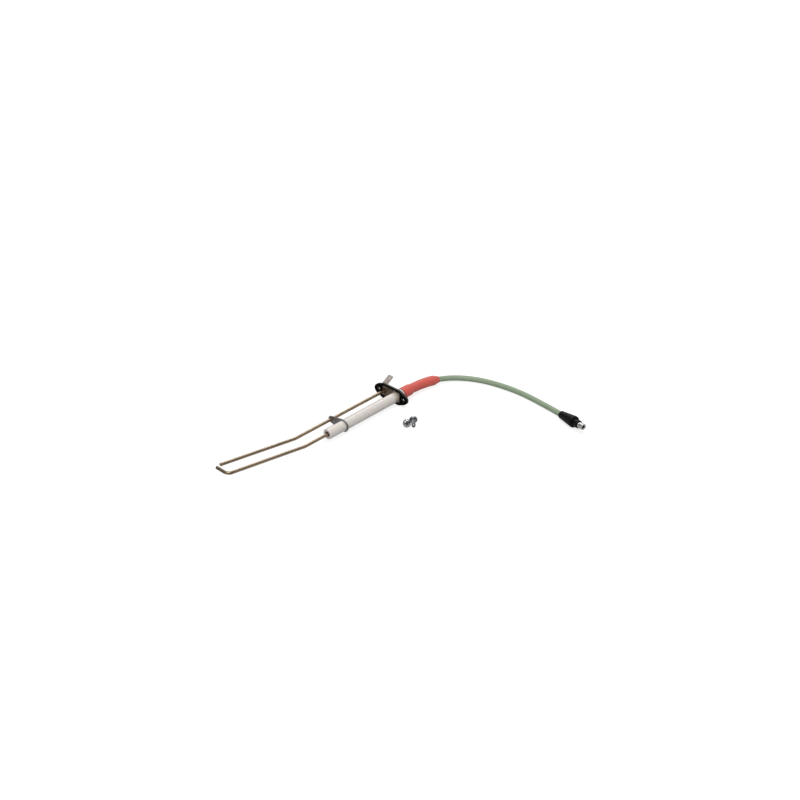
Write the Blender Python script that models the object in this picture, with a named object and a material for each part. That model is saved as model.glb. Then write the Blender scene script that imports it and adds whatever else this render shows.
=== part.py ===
"""Ignition electrode for a gas burner: flange, ceramic, two rods, boot, high-voltage lead and two screws.

Frame: +X runs along the electrode from the flange towards the spark gap, +Y from the earth rod towards the
ignition rod, +Z up. The origin is on the lower edge of the flange plate, half way between the screw holes
and half way through the plate, so z = 0 is the surface that the electrode lies on.
"""
import math

import bmesh
import bpy
from mathutils import Matrix, Vector

MM = 0.001

# Clearances
SEAT_GAP = 0.2 * MM             # between two hard pieces that seat on or in each other
RUBBER_GAP = 0.25 * MM          # between a rubber bore and the cable in it
WINDOW_GAP = 0.35 * MM          # between the gasket's window and the ceramic

# Flange plate and gasket
PLATE_THICKNESS = 1.8 * MM
GASKET_THICKNESS = 1.3 * MM
FLANGE_HALF_HEIGHT = 7.7 * MM
EDGE_HALF_LENGTH = 9.5 * MM     # from the middle to where the straight long edges end
CORNER_RADIUS = 4.0 * MM
LOBE_RADIUS = 5.0 * MM          # round ends about the screw holes
HOLE_SPACING = 31.6 * MM
PLATE_HOLE_RADIUS = 2.2 * MM
GASKET_HOLE_RADIUS = 2.3 * MM
GASKET_RIM = 1.4 * MM           # width of the gasket along the long edges

# Ceramic insulator
CERAMIC_OFFSET = 6.8 * MM       # its axis, beside the middle of the flange
CERAMIC_RADIUS = 5.0 * MM
CERAMIC_FRONT = 92.4 * MM
CERAMIC_SHOULDER = -5.8 * MM    # where the body ends and the thinner neck begins
NECK_RADIUS = 3.9 * MM
NECK_LENGTH = 13.2 * MM
CERAMIC_CHAMFER = 0.5 * MM
MOUTH_DEPTH = 3.0 * MM          # open part of the counterbore, ahead of the cement
CEMENT_RADIUS = 2.4 * MM
CEMENT_LENGTH = 6.5 * MM
BOND_WALL = 0.6 * MM
BOND_LENGTH = 2.4 * MM

# Rods
ROD_RADIUS = 1.5 * MM
BEND_ANGLE = math.radians(9.3)
BEND_RADIUS = 28.0 * MM
IGNITION_BEND = 119.9 * MM
IGNITION_REACH = 89.5 * MM      # from the bend to the tip's corner
TIP_LENGTH = 14.5 * MM
TIP_RADIUS = 4.8 * MM
EARTH_OFFSET = -9.0 * MM
EARTH_BEND = 117.4 * MM
EARTH_REACH = 87.0 * MM
PIN_LENGTH = 8.0 * MM           # ignition rod behind the ceramic's neck
PIN_SLEEVE_WALL = 0.7 * MM
PIN_SLEEVE_CAP = 0.6 * MM

# Support clip
CLIP_PLACE = 71.2 * MM
CLIP_THICKNESS = 1.2 * MM
CLIP_RING_WIDTH = 1.0 * MM      # ring about the ceramic
CLIP_LOBE_WIDTH = 1.8 * MM      # lobe about the earth rod

# Earth tab and its rivet
TAB_WIDTH = 6.3 * MM
TAB_THICKNESS = 0.8 * MM
TAB_OFFSET = -10.6 * MM
TAB_FOOT = 1.3 * MM             # height of the leg's lower end
TAB_CORNER = 13.6 * MM          # height of the bend
TAB_LENGTH = 10.3 * MM
TAB_RISE = math.radians(32.0)
TAB_BEND_RADIUS = 1.4 * MM
TAB_CHAMFER = 0.9 * MM
TAB_HOLE_RADIUS = 0.7 * MM
TAB_HOLE_INSET = 3.2 * MM
RIVET_RADIUS = 0.9 * MM
RIVET_HEAD_RADIUS = 1.25 * MM
RIVET_HEAD_HEIGHT = 0.7 * MM
RIVET_HEIGHT = 4.1 * MM

# Boot, its socket and the lead
BOOT_RADIUS = 5.4 * MM          # over the ceramic's neck
BOOT_WAIST_RADIUS = 4.75 * MM
BOOT_END_RADIUS = 3.15 * MM
BOOT_LENGTH = 48.0 * MM
SOCKET_WALL = 0.6 * MM
CRIMP_RADIUS = 1.9 * MM
CRIMP_LENGTH = 3.4 * MM
CONDUCTOR_RADIUS = 0.7 * MM
CONDUCTOR_GAP = 0.45 * MM
CABLE_RADIUS = 2.65 * MM
CABLE_START = 29.5 * MM         # along the route, from the boot's front face
CABLE_IN_PLUG = 9.0 * MM
PULL_OFF = 24.0 * MM

# Plug on the far end, sizes along its own axis
PLUG_HEADING = math.radians(75.0)
PLUG_REAR_RADIUS = 3.6 * MM
PLUG_RADIUS = 5.7 * MM
PLUG_CONE_LENGTH = 19.0 * MM
PLUG_NOSE = 1.4 * MM
COLLAR_RADIUS = 3.9 * MM
COLLAR_LENGTH = 6.2 * MM
SPIGOT_LENGTH = 8.0 * MM
SPIGOT_WALL = 0.9 * MM
FERRULE_RADIUS = 2.9 * MM
FERRULE_LENGTH = 5.9 * MM
FERRULE_BORE = 1.7 * MM
BARREL_RADIUS = 2.3 * MM
SPRING_WALL = 0.25 * MM
SPRING_LENGTH = 7.0 * MM

# Screws, M4 by 8
SCREW_HEAD_RADIUS = 3.9 * MM
SCREW_HEAD_HEIGHT = 2.6 * MM
SCREW_RADIUS = 1.95 * MM
SCREW_LENGTH = 8.0 * MM
SCREW_POINT = 0.5 * MM
RECESS_REACH = 1.9 * MM
RECESS_WIDTH = 1.0 * MM
RECESS_DEPTH = 1.5 * MM
SCREWS = {
    "screw_1": (Vector((26.0, 43.6)) * MM, math.radians(223.5)),
    "screw_2": (Vector((14.7, 41.1)) * MM, math.radians(45.5)),
}

# The lead's route from the boot's front face to the plug, in mm: along the electrode, then down to the
# surface and round towards +Y in one loose curve. The plug carries it on.
ROUTE = [
    (-6.1, 6.8, 7.7),
    (-16.0, 6.8, 7.7),
    (-24.0, 6.8, 7.7),
    (-32.0, 6.9, 7.65),
    (-39.5, 8.2, 7.2),
    (-46.5, 10.0, 6.4),
    (-55.0, 12.4, 5.4),
    (-63.6, 15.8, 4.2),
    (-70.6, 20.3, 3.3),
    (-76.2, 26.0, 2.8),
    (-80.6, 32.8, 2.7),
    (-84.1, 40.2, 2.7),
    (-87.0, 48.6, 2.7),
    (-90.0, 61.8, 2.7),
    (-91.6, 74.0, 2.7),
    (-92.1, 86.0, 2.7),
    (-91.6, 98.0, 2.7),
    (-90.4, 110.0, 2.75),
    (-88.9, 122.0, 3.0),
]
PLUG_START = Vector((-86.3, 135.9)) * MM

# Worked out from the sizes above
AXIS_HEIGHT = FLANGE_HALF_HEIGHT
PLATE_FRONT = PLATE_THICKNESS / 2
PLATE_BACK = -PLATE_THICKNESS / 2
GASKET_BACK = PLATE_FRONT + SEAT_GAP
GASKET_FRONT = GASKET_BACK + GASKET_THICKNESS
ROD_BORE = ROD_RADIUS + SEAT_GAP
NECK_END = CERAMIC_SHOULDER - NECK_LENGTH
ROD_REAR = NECK_END - PIN_LENGTH
BOOT_FRONT = Vector(ROUTE[0]) * MM
ELECTRODE_AXIS = Vector((0.0, CERAMIC_OFFSET, AXIS_HEIGHT))

ROUND = 48                      # sides of the ceramic
ROUND_SMALL = 24                # sides of small turned pieces


def clear_scene():
    for obj in list(bpy.data.objects):
        bpy.data.objects.remove(obj, do_unlink=True)


def finish(name, colour, roughness, metallic):
    material = bpy.data.materials.new(name)
    material.use_nodes = True
    shader = material.node_tree.nodes["Principled BSDF"]
    shader.inputs["Base Color"].default_value = (*colour, 1.0)
    shader.inputs["Roughness"].default_value = roughness
    shader.inputs["Metallic"].default_value = metallic
    return material


def empty(name, location):
    obj = bpy.data.objects.new(name, None)
    obj.location = location
    obj.empty_display_size = 0.01
    bpy.context.collection.objects.link(obj)
    return obj


def add_object(name, bm, material, parent=None, sharp=math.radians(35)):
    """Make an object from a mesh built in world coordinates, with its origin at its parent's place."""
    origin = parent.location.copy() if parent else Vector((0.0, 0.0, 0.0))
    bmesh.ops.recalc_face_normals(bm, faces=bm.faces)
    bmesh.ops.translate(bm, verts=bm.verts, vec=-origin)
    mesh = bpy.data.meshes.new(name)
    bm.to_mesh(mesh)
    bm.free()
    mesh.shade_smooth()
    mesh.set_sharp_from_angle(angle=sharp)
    mesh.materials.append(material)
    obj = bpy.data.objects.new(name, mesh)
    obj.parent = parent
    bpy.context.collection.objects.link(obj)
    return obj


def add_tube(name, points, radius, material, parent=None, resolution=4):
    """A round bar along the points, closed at both ends."""
    origin = parent.location.copy() if parent else Vector((0.0, 0.0, 0.0))
    curve = bpy.data.curves.new(name, "CURVE")
    curve.dimensions = "3D"
    curve.bevel_depth = radius
    curve.bevel_resolution = resolution
    curve.use_fill_caps = True
    spline = curve.splines.new("POLY")
    spline.points.add(len(points) - 1)
    for place, point in zip(spline.points, points):
        place.co = (*(point - origin), 1.0)
    curve.materials.append(material)
    obj = bpy.data.objects.new(name, curve)
    obj.parent = parent
    bpy.context.collection.objects.link(obj)
    return obj


def cut(obj, cutter):
    cutter.hide_render = True
    cutter.display_type = "WIRE"
    cutter.parent = obj.parent
    modifier = obj.modifiers.new(cutter.name, "BOOLEAN")
    modifier.operation = "DIFFERENCE"
    modifier.solver = "EXACT"
    modifier.object = cutter


def along_x(origin):
    """Turned pieces on the electrode: the profile runs along world X from the origin's x."""
    return Matrix.Translation(origin)


def turned(profile, place, sides, closed, sweep=math.tau):
    """Turn (along, radius) points about the local X axis. A closed profile makes a ring or tube."""
    bm = bmesh.new()
    full = sweep == math.tau
    steps = sides if full else sides + 1
    rings = []
    for along, radius in profile:
        if radius == 0.0:
            rings.append([bm.verts.new(place @ Vector((along, 0.0, 0.0)))])
            continue
        ring = []
        for step in range(steps):
            angle = sweep * step / sides
            spot = Vector((along, radius * math.cos(angle), radius * math.sin(angle)))
            ring.append(bm.verts.new(place @ spot))
        rings.append(ring)
    pairs = list(zip(rings, rings[1:]))
    if closed:
        pairs.append((rings[-1], rings[0]))
    for first, second in pairs:
        for step in range(sides):
            nxt = (step + 1) % steps
            corners = []
            for ring, index in ((first, step), (first, nxt), (second, nxt), (second, step)):
                vert = ring[0] if len(ring) == 1 else ring[index]
                if vert not in corners:
                    corners.append(vert)
            bm.faces.new(corners)
    if not full:
        bm.faces.new([ring[0] for ring in rings])
        bm.faces.new([ring[-1] for ring in reversed(rings)])
    return bm


def circle_points(centre_y, centre_z, radius, sides):
    angles = [math.tau * k / sides for k in range(sides)]
    return [(centre_y + radius * math.cos(a), centre_z + radius * math.sin(a)) for a in angles]


def hull_of_circles(circles, sides):
    """The outline of a band stretched round some circles, each (y, z, radius)."""
    points = sorted({
        (round(y, 9), round(z, 9)) for circle in circles for y, z in circle_points(*circle, sides)
    })

    def half(ordered):
        chain = []
        for point in ordered:
            while len(chain) > 1:
                (ay, az), (by, bz) = chain[-2], chain[-1]
                if (by - ay) * (point[1] - az) - (bz - az) * (point[0] - ay) > 1e-12:
                    break
                chain.pop()
            chain.append(point)
        return chain[:-1]

    return half(points) + half(points[::-1])


def sheet(outline, holes, x_back, x_front):
    """A flat sheet square to X, with holes through it."""
    bm = bmesh.new()
    edges = []
    for loop in [outline] + holes:
        verts = [bm.verts.new((x_back, y, z)) for y, z in loop]
        edges += [bm.edges.new(pair) for pair in zip(verts, verts[1:] + verts[:1])]
    bmesh.ops.triangle_fill(bm, edges=edges, use_beauty=True)
    back_faces = list(bm.faces)
    front = {vert: bm.verts.new((x_front, vert.co.y, vert.co.z)) for vert in list(bm.verts)}
    for face in back_faces:
        bm.faces.new([front[vert] for vert in reversed(face.verts)])
    for edge in edges:
        a, b = edge.verts
        bm.faces.new((a, b, front[b], front[a]))
    return bm


def rounded_path(corners, radii, steps):
    """A path through the corners, with an arc of the given radius at each inner corner."""
    path = [corners[0]]
    for before, corner, after, radius in zip(corners, corners[1:], corners[2:], radii):
        into = (corner - before).normalized()
        out = (after - corner).normalized()
        turn = into.angle(out)
        start = corner - into * radius * math.tan(turn / 2)
        centre = start + (out - into * into.dot(out)).normalized() * radius
        normal = into.cross(out).normalized()
        for step in range(steps + 1):
            path.append(centre + Matrix.Rotation(turn * step / steps, 3, normal) @ (start - centre))
    return path + [corners[-1]]


def smooth_route(points, per_span=24):
    """A centripetal Catmull-Rom curve through the points, as many short steps."""
    guides = [points[0] * 2 - points[1]] + points + [points[-1] * 2 - points[-2]]
    fine = [points[0]]
    for p0, p1, p2, p3 in zip(guides, guides[1:], guides[2:], guides[3:]):
        t1 = math.sqrt((p1 - p0).length)
        t2 = t1 + math.sqrt((p2 - p1).length)
        t3 = t2 + math.sqrt((p3 - p2).length)
        for step in range(1, per_span + 1):
            t = t1 + (t2 - t1) * step / per_span
            a1 = p0.lerp(p1, t / t1)
            a2 = p1.lerp(p2, (t - t1) / (t2 - t1))
            a3 = p2.lerp(p3, (t - t2) / (t3 - t2))
            b1 = a1.lerp(a2, t / t2)
            b2 = a2.lerp(a3, (t - t1) / (t3 - t1))
            fine.append(b1.lerp(b2, (t - t1) / (t2 - t1)))
    return fine


class Polyline:
    """A path of straight runs that is read by the distance along it."""

    def __init__(self, fine, spacing):
        marks = [0.0]
        for first, second in zip(fine, fine[1:]):
            marks.append(marks[-1] + (second - first).length)
        runs = max(1, round(marks[-1] / spacing))
        self.points = []
        span = 0
        for run in range(runs + 1):
            wanted = marks[-1] * run / runs
            while span < len(marks) - 2 and marks[span + 1] < wanted:
                span += 1
            share = (wanted - marks[span]) / (marks[span + 1] - marks[span])
            self.points.append(fine[span].lerp(fine[span + 1], share))
        self.marks = [0.0]
        for first, second in zip(self.points, self.points[1:]):
            self.marks.append(self.marks[-1] + (second - first).length)
        self.length = self.marks[-1]

    def at(self, distance):
        span = 0
        while span < len(self.marks) - 2 and self.marks[span + 1] < distance:
            span += 1
        share = (distance - self.marks[span]) / (self.marks[span + 1] - self.marks[span])
        return self.points[span].lerp(self.points[span + 1], share)

    def heading(self, distance):
        reach = 0.5 * MM
        ahead = self.at(min(distance + reach, self.length))
        behind = self.at(max(distance - reach, 0.0))
        return (ahead - behind).normalized()

    def between(self, start, end):
        inner = [point for mark, point in zip(self.marks, self.points) if start + MM < mark < end - MM]
        return [self.at(start)] + inner + [self.at(end)]


def with_marks(profile, marks):
    """The (distance, radius) profile with points added at the path's own corners."""
    stations = dict(profile)
    for mark in marks:
        for (d0, r0), (d1, r1) in zip(profile, profile[1:]):
            if d0 + MM < mark < d1 - MM:
                stations[mark] = r0 + (r1 - r0) * (mark - d0) / (d1 - d0)
    return sorted(stations.items())


def sleeve_along(path, outer, inner, sides):
    """A soft sleeve along a path, from its outer and inner (distance, radius) profiles."""
    bm = bmesh.new()

    def rings(profile):
        made = []
        for distance, radius in with_marks(profile, path.marks):
            middle = path.at(distance)
            ahead = path.heading(distance)
            side = ahead.cross(Vector((0.0, 0.0, 1.0))).normalized()
            up = side.cross(ahead)
            made.append([
                bm.verts.new(
                    middle
                    + side * radius * math.cos(math.tau * k / sides)
                    + up * radius * math.sin(math.tau * k / sides)
                )
                for k in range(sides)
            ])
        return made

    loop = rings(outer) + rings(inner)[::-1]
    for first, second in zip(loop, loop[1:] + loop[:1]):
        for k in range(sides):
            nxt = (k + 1) % sides
            bm.faces.new((first[k], first[nxt], second[nxt], second[k]))
    return bm


def strip(path, widths, thickness, middle_y):
    """A bent strip of sheet metal: its centreline is in the XZ plane and it is as wide as widths says."""
    bm = bmesh.new()
    rings = []
    for index, (point, width) in enumerate(zip(path, widths)):
        before = path[max(index - 1, 0)]
        after = path[min(index + 1, len(path) - 1)]
        ahead = (after - before).normalized()
        normal = Vector((-ahead.z, 0.0, ahead.x)) * thickness / 2
        across = Vector((0.0, width / 2, 0.0))
        middle = Vector((point.x, middle_y, point.z))
        corners = ((-1, -1), (1, -1), (1, 1), (-1, 1))
        rings.append([bm.verts.new(middle + a * across + b * normal) for a, b in corners])
    for first, second in zip(rings, rings[1:]):
        for k in range(4):
            nxt = (k + 1) % 4
            bm.faces.new((first[k], first[nxt], second[nxt], second[k]))
    bm.faces.new(rings[0])
    bm.faces.new(rings[-1][::-1])
    return bm


def flange_outline(inset):
    """The flange's outline, or one that lies inside it by the inset."""
    rows = [(side * HOLE_SPACING / 2, AXIS_HEIGHT, LOBE_RADIUS - inset) for side in (-1, 1)]
    for side in (-1, 1):
        for level in (-1, 1):
            rows.append((
                side * EDGE_HALF_LENGTH,
                AXIS_HEIGHT + level * (FLANGE_HALF_HEIGHT - CORNER_RADIUS),
                CORNER_RADIUS - inset,
            ))
    return hull_of_circles(rows, 32)


def window_outline():
    """The gasket's window: inside the rim, and cut off square just past the ceramic."""
    reach = CERAMIC_OFFSET + CERAMIC_RADIUS + WINDOW_GAP
    outline = flange_outline(GASKET_RIM)
    clipped = []
    for (y0, z0), (y1, z1) in zip(outline, outline[1:] + outline[:1]):
        if abs(y0) <= reach:
            clipped.append((y0, z0))
        for limit in sorted((-reach, reach), key=lambda value: abs(value - y0)):
            if (y0 - limit) * (y1 - limit) < 0:
                share = (limit - y0) / (y1 - y0)
                clipped.append((limit, z0 + (z1 - z0) * share))
    return clipped


def screw_holes(radius):
    return [circle_points(side * HOLE_SPACING / 2, AXIS_HEIGHT, radius, 24) for side in (-1, 1)]


def make_flange(steel, gasket_black):
    bond_hole = CERAMIC_RADIUS + BOND_WALL + 2 * SEAT_GAP
    holes = screw_holes(PLATE_HOLE_RADIUS) + [
        circle_points(CERAMIC_OFFSET, AXIS_HEIGHT, bond_hole, ROUND),
        circle_points(EARTH_OFFSET, AXIS_HEIGHT, ROD_BORE, 20),
        circle_points(TAB_OFFSET, RIVET_HEIGHT, RIVET_RADIUS + SEAT_GAP, 16),
    ]
    add_object("flange_plate", sheet(flange_outline(0.0), holes, PLATE_BACK, PLATE_FRONT), steel)
    openings = screw_holes(GASKET_HOLE_RADIUS) + [window_outline()]
    add_object("flange_gasket", sheet(flange_outline(0.0), openings, GASKET_BACK, GASKET_FRONT), gasket_black)


def make_ceramic(glaze, cement, fired_cement):
    mouth = CEMENT_RADIUS + SEAT_GAP
    pocket = MOUTH_DEPTH + CEMENT_LENGTH + SEAT_GAP
    rear_pocket = CEMENT_LENGTH + SEAT_GAP
    chamfer = CERAMIC_CHAMFER
    profile = [
        (CERAMIC_FRONT, CERAMIC_RADIUS - chamfer),
        (CERAMIC_FRONT - chamfer, CERAMIC_RADIUS),
        (CERAMIC_SHOULDER + chamfer, CERAMIC_RADIUS),
        (CERAMIC_SHOULDER, CERAMIC_RADIUS - chamfer),
        (CERAMIC_SHOULDER, NECK_RADIUS),
        (NECK_END + chamfer, NECK_RADIUS),
        (NECK_END, NECK_RADIUS - chamfer),
        (NECK_END, mouth),
        (NECK_END + rear_pocket, mouth),
        (NECK_END + rear_pocket, ROD_BORE),
        (CERAMIC_FRONT - pocket, ROD_BORE),
        (CERAMIC_FRONT - pocket, mouth),
        (CERAMIC_FRONT - chamfer, mouth),
        (CERAMIC_FRONT, mouth + chamfer),
    ]
    place = along_x(ELECTRODE_AXIS)
    add_object("ceramic_insulator", turned(profile, place, ROUND, True), glaze)

    def plug_ring(name, start, length, inner, outer, material, sides):
        ring = [(start, inner), (start, outer), (start + length, outer), (start + length, inner)]
        add_object(name, turned(ring, place, sides, True), material)

    front_start = CERAMIC_FRONT - MOUTH_DEPTH - CEMENT_LENGTH
    plug_ring("front_cement_plug", front_start, CEMENT_LENGTH, ROD_BORE, CEMENT_RADIUS, cement, ROUND_SMALL)
    plug_ring("rear_cement_plug", NECK_END, CEMENT_LENGTH, ROD_BORE, CEMENT_RADIUS, cement, ROUND_SMALL)
    inner = CERAMIC_RADIUS + SEAT_GAP
    start = PLATE_FRONT - BOND_LENGTH
    plug_ring("ceramic_bond_ring", start, BOND_LENGTH, inner, inner + BOND_WALL, fired_cement, ROUND)


def make_rods(wire, brass):
    rise = Vector((math.cos(BEND_ANGLE), 0.0, math.sin(BEND_ANGLE)))
    bend = Vector((IGNITION_BEND, CERAMIC_OFFSET, AXIS_HEIGHT))
    corner = bend + rise * IGNITION_REACH
    ignition = [
        Vector((ROD_REAR, CERAMIC_OFFSET, AXIS_HEIGHT)),
        bend,
        corner,
        corner - Vector((0.0, TIP_LENGTH, 0.0)),
    ]
    add_tube("ignition_rod", rounded_path(ignition, [BEND_RADIUS, TIP_RADIUS], 6), ROD_RADIUS, wire)

    earth_bend = Vector((EARTH_BEND, EARTH_OFFSET, AXIS_HEIGHT))
    earth = [
        Vector((PLATE_BACK, EARTH_OFFSET, AXIS_HEIGHT)),
        earth_bend,
        earth_bend + rise * EARTH_REACH,
    ]
    add_tube("earth_rod", rounded_path(earth, [BEND_RADIUS], 4), ROD_RADIUS, wire)

    outer = ROD_BORE + PIN_SLEEVE_WALL
    cavity = ROD_REAR - SEAT_GAP
    tip = cavity - PIN_SLEEVE_CAP
    sleeve = [
        (cavity, 0.0),
        (cavity, ROD_BORE),
        (NECK_END - SEAT_GAP, ROD_BORE),
        (NECK_END - SEAT_GAP, outer),
        (tip + 0.6 * outer, outer),
        (tip, 0.6 * outer),
        (tip, 0.0),
    ]
    add_object("pin_sleeve", turned(sleeve, along_x(ELECTRODE_AXIS), ROUND_SMALL, False), brass)


def make_clip(steel):
    ring_hole = CERAMIC_RADIUS + SEAT_GAP
    outline = hull_of_circles(
        [
            (CERAMIC_OFFSET, AXIS_HEIGHT, ring_hole + CLIP_RING_WIDTH),
            (EARTH_OFFSET, AXIS_HEIGHT, ROD_BORE + CLIP_LOBE_WIDTH),
        ],
        40,
    )
    holes = [
        circle_points(CERAMIC_OFFSET, AXIS_HEIGHT, ring_hole, 40),
        circle_points(EARTH_OFFSET, AXIS_HEIGHT, ROD_BORE, 20),
    ]
    add_object("rod_support_clip", sheet(outline, holes, CLIP_PLACE, CLIP_PLACE + CLIP_THICKNESS), steel)


def make_tab(tinned, rivet_steel):
    leg = PLATE_BACK - SEAT_GAP - TAB_THICKNESS / 2
    away = Vector((-math.cos(TAB_RISE), 0.0, math.sin(TAB_RISE)))
    corner = Vector((leg, 0.0, TAB_CORNER))
    end = corner + away * TAB_LENGTH
    path = rounded_path([Vector((leg, 0.0, TAB_FOOT)), corner, end], [TAB_BEND_RADIUS], 5)
    path.insert(-1, end - away * TAB_CHAMFER)
    widths = [TAB_WIDTH] * (len(path) - 1) + [TAB_WIDTH - 2 * TAB_CHAMFER]
    tab = add_object("earth_tab", strip(path, widths, TAB_THICKNESS, TAB_OFFSET), tinned)

    reach = 2 * MM
    bore = [(-reach, 0.0), (-reach, 1.0), (reach, 1.0), (reach, 0.0)]
    rivet_hole = [(along, radius * (RIVET_RADIUS + SEAT_GAP)) for along, radius in bore]
    rivet_place = Vector((leg, TAB_OFFSET, RIVET_HEIGHT))
    cut(tab, add_object("tab_rivet_cutter", turned(rivet_hole, along_x(rivet_place), 16, False), tinned))
    contact_hole = [(along, radius * TAB_HOLE_RADIUS) for along, radius in bore]
    spot = end - away * TAB_HOLE_INSET
    spot.y = TAB_OFFSET
    square = away.cross(Vector((0.0, 1.0, 0.0))).to_track_quat("X", "Z").to_matrix().to_4x4()
    upright = Matrix.Translation(spot) @ square
    cut(tab, add_object("tab_hole_cutter", turned(contact_hole, upright, 16, False), tinned))

    front = PLATE_FRONT + SEAT_GAP
    back = leg - TAB_THICKNESS / 2 - SEAT_GAP
    head = RIVET_HEAD_HEIGHT
    rivet = [
        (front + head, 0.0),
        (front + head, 0.5 * RIVET_HEAD_RADIUS),
        (front + 0.5 * head, 0.9 * RIVET_HEAD_RADIUS),
        (front, RIVET_HEAD_RADIUS),
        (front, RIVET_RADIUS),
        (back, RIVET_RADIUS),
        (back, RIVET_HEAD_RADIUS),
        (back - 0.5 * head, 0.9 * RIVET_HEAD_RADIUS),
        (back - head, 0.5 * RIVET_HEAD_RADIUS),
        (back - head, 0.0),
    ]
    rivet_axis = Vector((0.0, TAB_OFFSET, RIVET_HEIGHT))
    add_object("tab_rivet", turned(rivet, along_x(rivet_axis), 16, False), rivet_steel)


def lead_route():
    """The lead's route on into the plug, and the plug's own frame (X along its axis)."""
    lift = math.atan2(PLUG_RADIUS - PLUG_REAR_RADIUS, PLUG_CONE_LENGTH)
    ahead = Vector((
        math.cos(PLUG_HEADING) * math.cos(lift),
        math.sin(PLUG_HEADING) * math.cos(lift),
        math.sin(lift),
    ))
    start = Vector((PLUG_START.x, PLUG_START.y, PLUG_REAR_RADIUS * math.cos(lift)))
    points = [Vector(point) * MM for point in ROUTE]
    points += [start + ahead * CABLE_IN_PLUG * share for share in (0.0, 0.5, 1.0)]
    side = Vector((0.0, 0.0, 1.0)).cross(ahead).normalized()
    frame = Matrix((ahead, side, ahead.cross(side))).transposed().to_4x4()
    return Polyline(smooth_route(points), 4 * CABLE_RADIUS), Matrix.Translation(start) @ frame


def make_boot(route, slide, silicone, brass, copper):
    bore = NECK_RADIUS + SEAT_GAP
    neck_reach = BOOT_FRONT.x - NECK_END
    pin_radius = ROD_BORE + PIN_SLEEVE_WALL
    socket_bore = pin_radius + SEAT_GAP
    socket_radius = socket_bore + SOCKET_WALL
    socket_room = socket_radius + SEAT_GAP + 0.1 * MM
    waist = neck_reach + 2.5 * MM
    outer = [
        (0.0, BOOT_RADIUS - 0.3 * MM),
        (0.8 * MM, BOOT_RADIUS),
        (neck_reach - 1.5 * MM, BOOT_RADIUS),
        (neck_reach + 0.4 * MM, BOOT_RADIUS - 0.25 * MM),
        (waist, BOOT_WAIST_RADIUS),
        (BOOT_LENGTH - 9.0 * MM, BOOT_WAIST_RADIUS),
        (BOOT_LENGTH - 5.0 * MM, BOOT_WAIST_RADIUS - 0.35 * MM),
        (BOOT_LENGTH - 0.8 * MM, BOOT_END_RADIUS + 0.3 * MM),
        (BOOT_LENGTH, BOOT_END_RADIUS),
    ]
    cable_bore = CABLE_RADIUS + RUBBER_GAP
    inner = [
        (0.0, bore),
        (neck_reach, bore),
        (neck_reach + 0.3 * MM, socket_room),
        (CABLE_START - 2.5 * MM, socket_room),
        (CABLE_START - 1.0 * MM, cable_bore),
        (BOOT_LENGTH, cable_bore),
    ]
    add_object("insulator_boot", sleeve_along(route, outer, inner, ROUND_SMALL), silicone, slide)

    mouth = NECK_END - 4 * SEAT_GAP
    floor = ROD_REAR - PIN_SLEEVE_CAP - 4 * SEAT_GAP
    crimp_bore = CONDUCTOR_RADIUS + CONDUCTOR_GAP
    neck = floor - 1.2 * MM
    socket = [
        (floor, 0.0),
        (floor, socket_bore),
        (mouth, socket_bore),
        (mouth, socket_radius),
        (floor, socket_radius),
        (neck, CRIMP_RADIUS),
        (neck - CRIMP_LENGTH, CRIMP_RADIUS),
        (neck - CRIMP_LENGTH, crimp_bore),
        (neck, crimp_bore),
        (neck, 0.0),
    ]
    place = along_x(ELECTRODE_AXIS)
    add_object("pin_socket", turned(socket, place, ROUND_SMALL, False), brass, slide)

    stub = [place @ Vector((along, 0.0, 0.0)) for along in (neck - 0.5 * MM, neck - CRIMP_LENGTH)]
    stub.append(route.at(CABLE_START - SEAT_GAP))
    add_tube("front_conductor", stub, CONDUCTOR_RADIUS, copper, slide, 2)


def make_cable(route, slide, jacket):
    add_tube("lead_cable", route.between(CABLE_START, route.length), CABLE_RADIUS, jacket, slide, 4)


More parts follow.
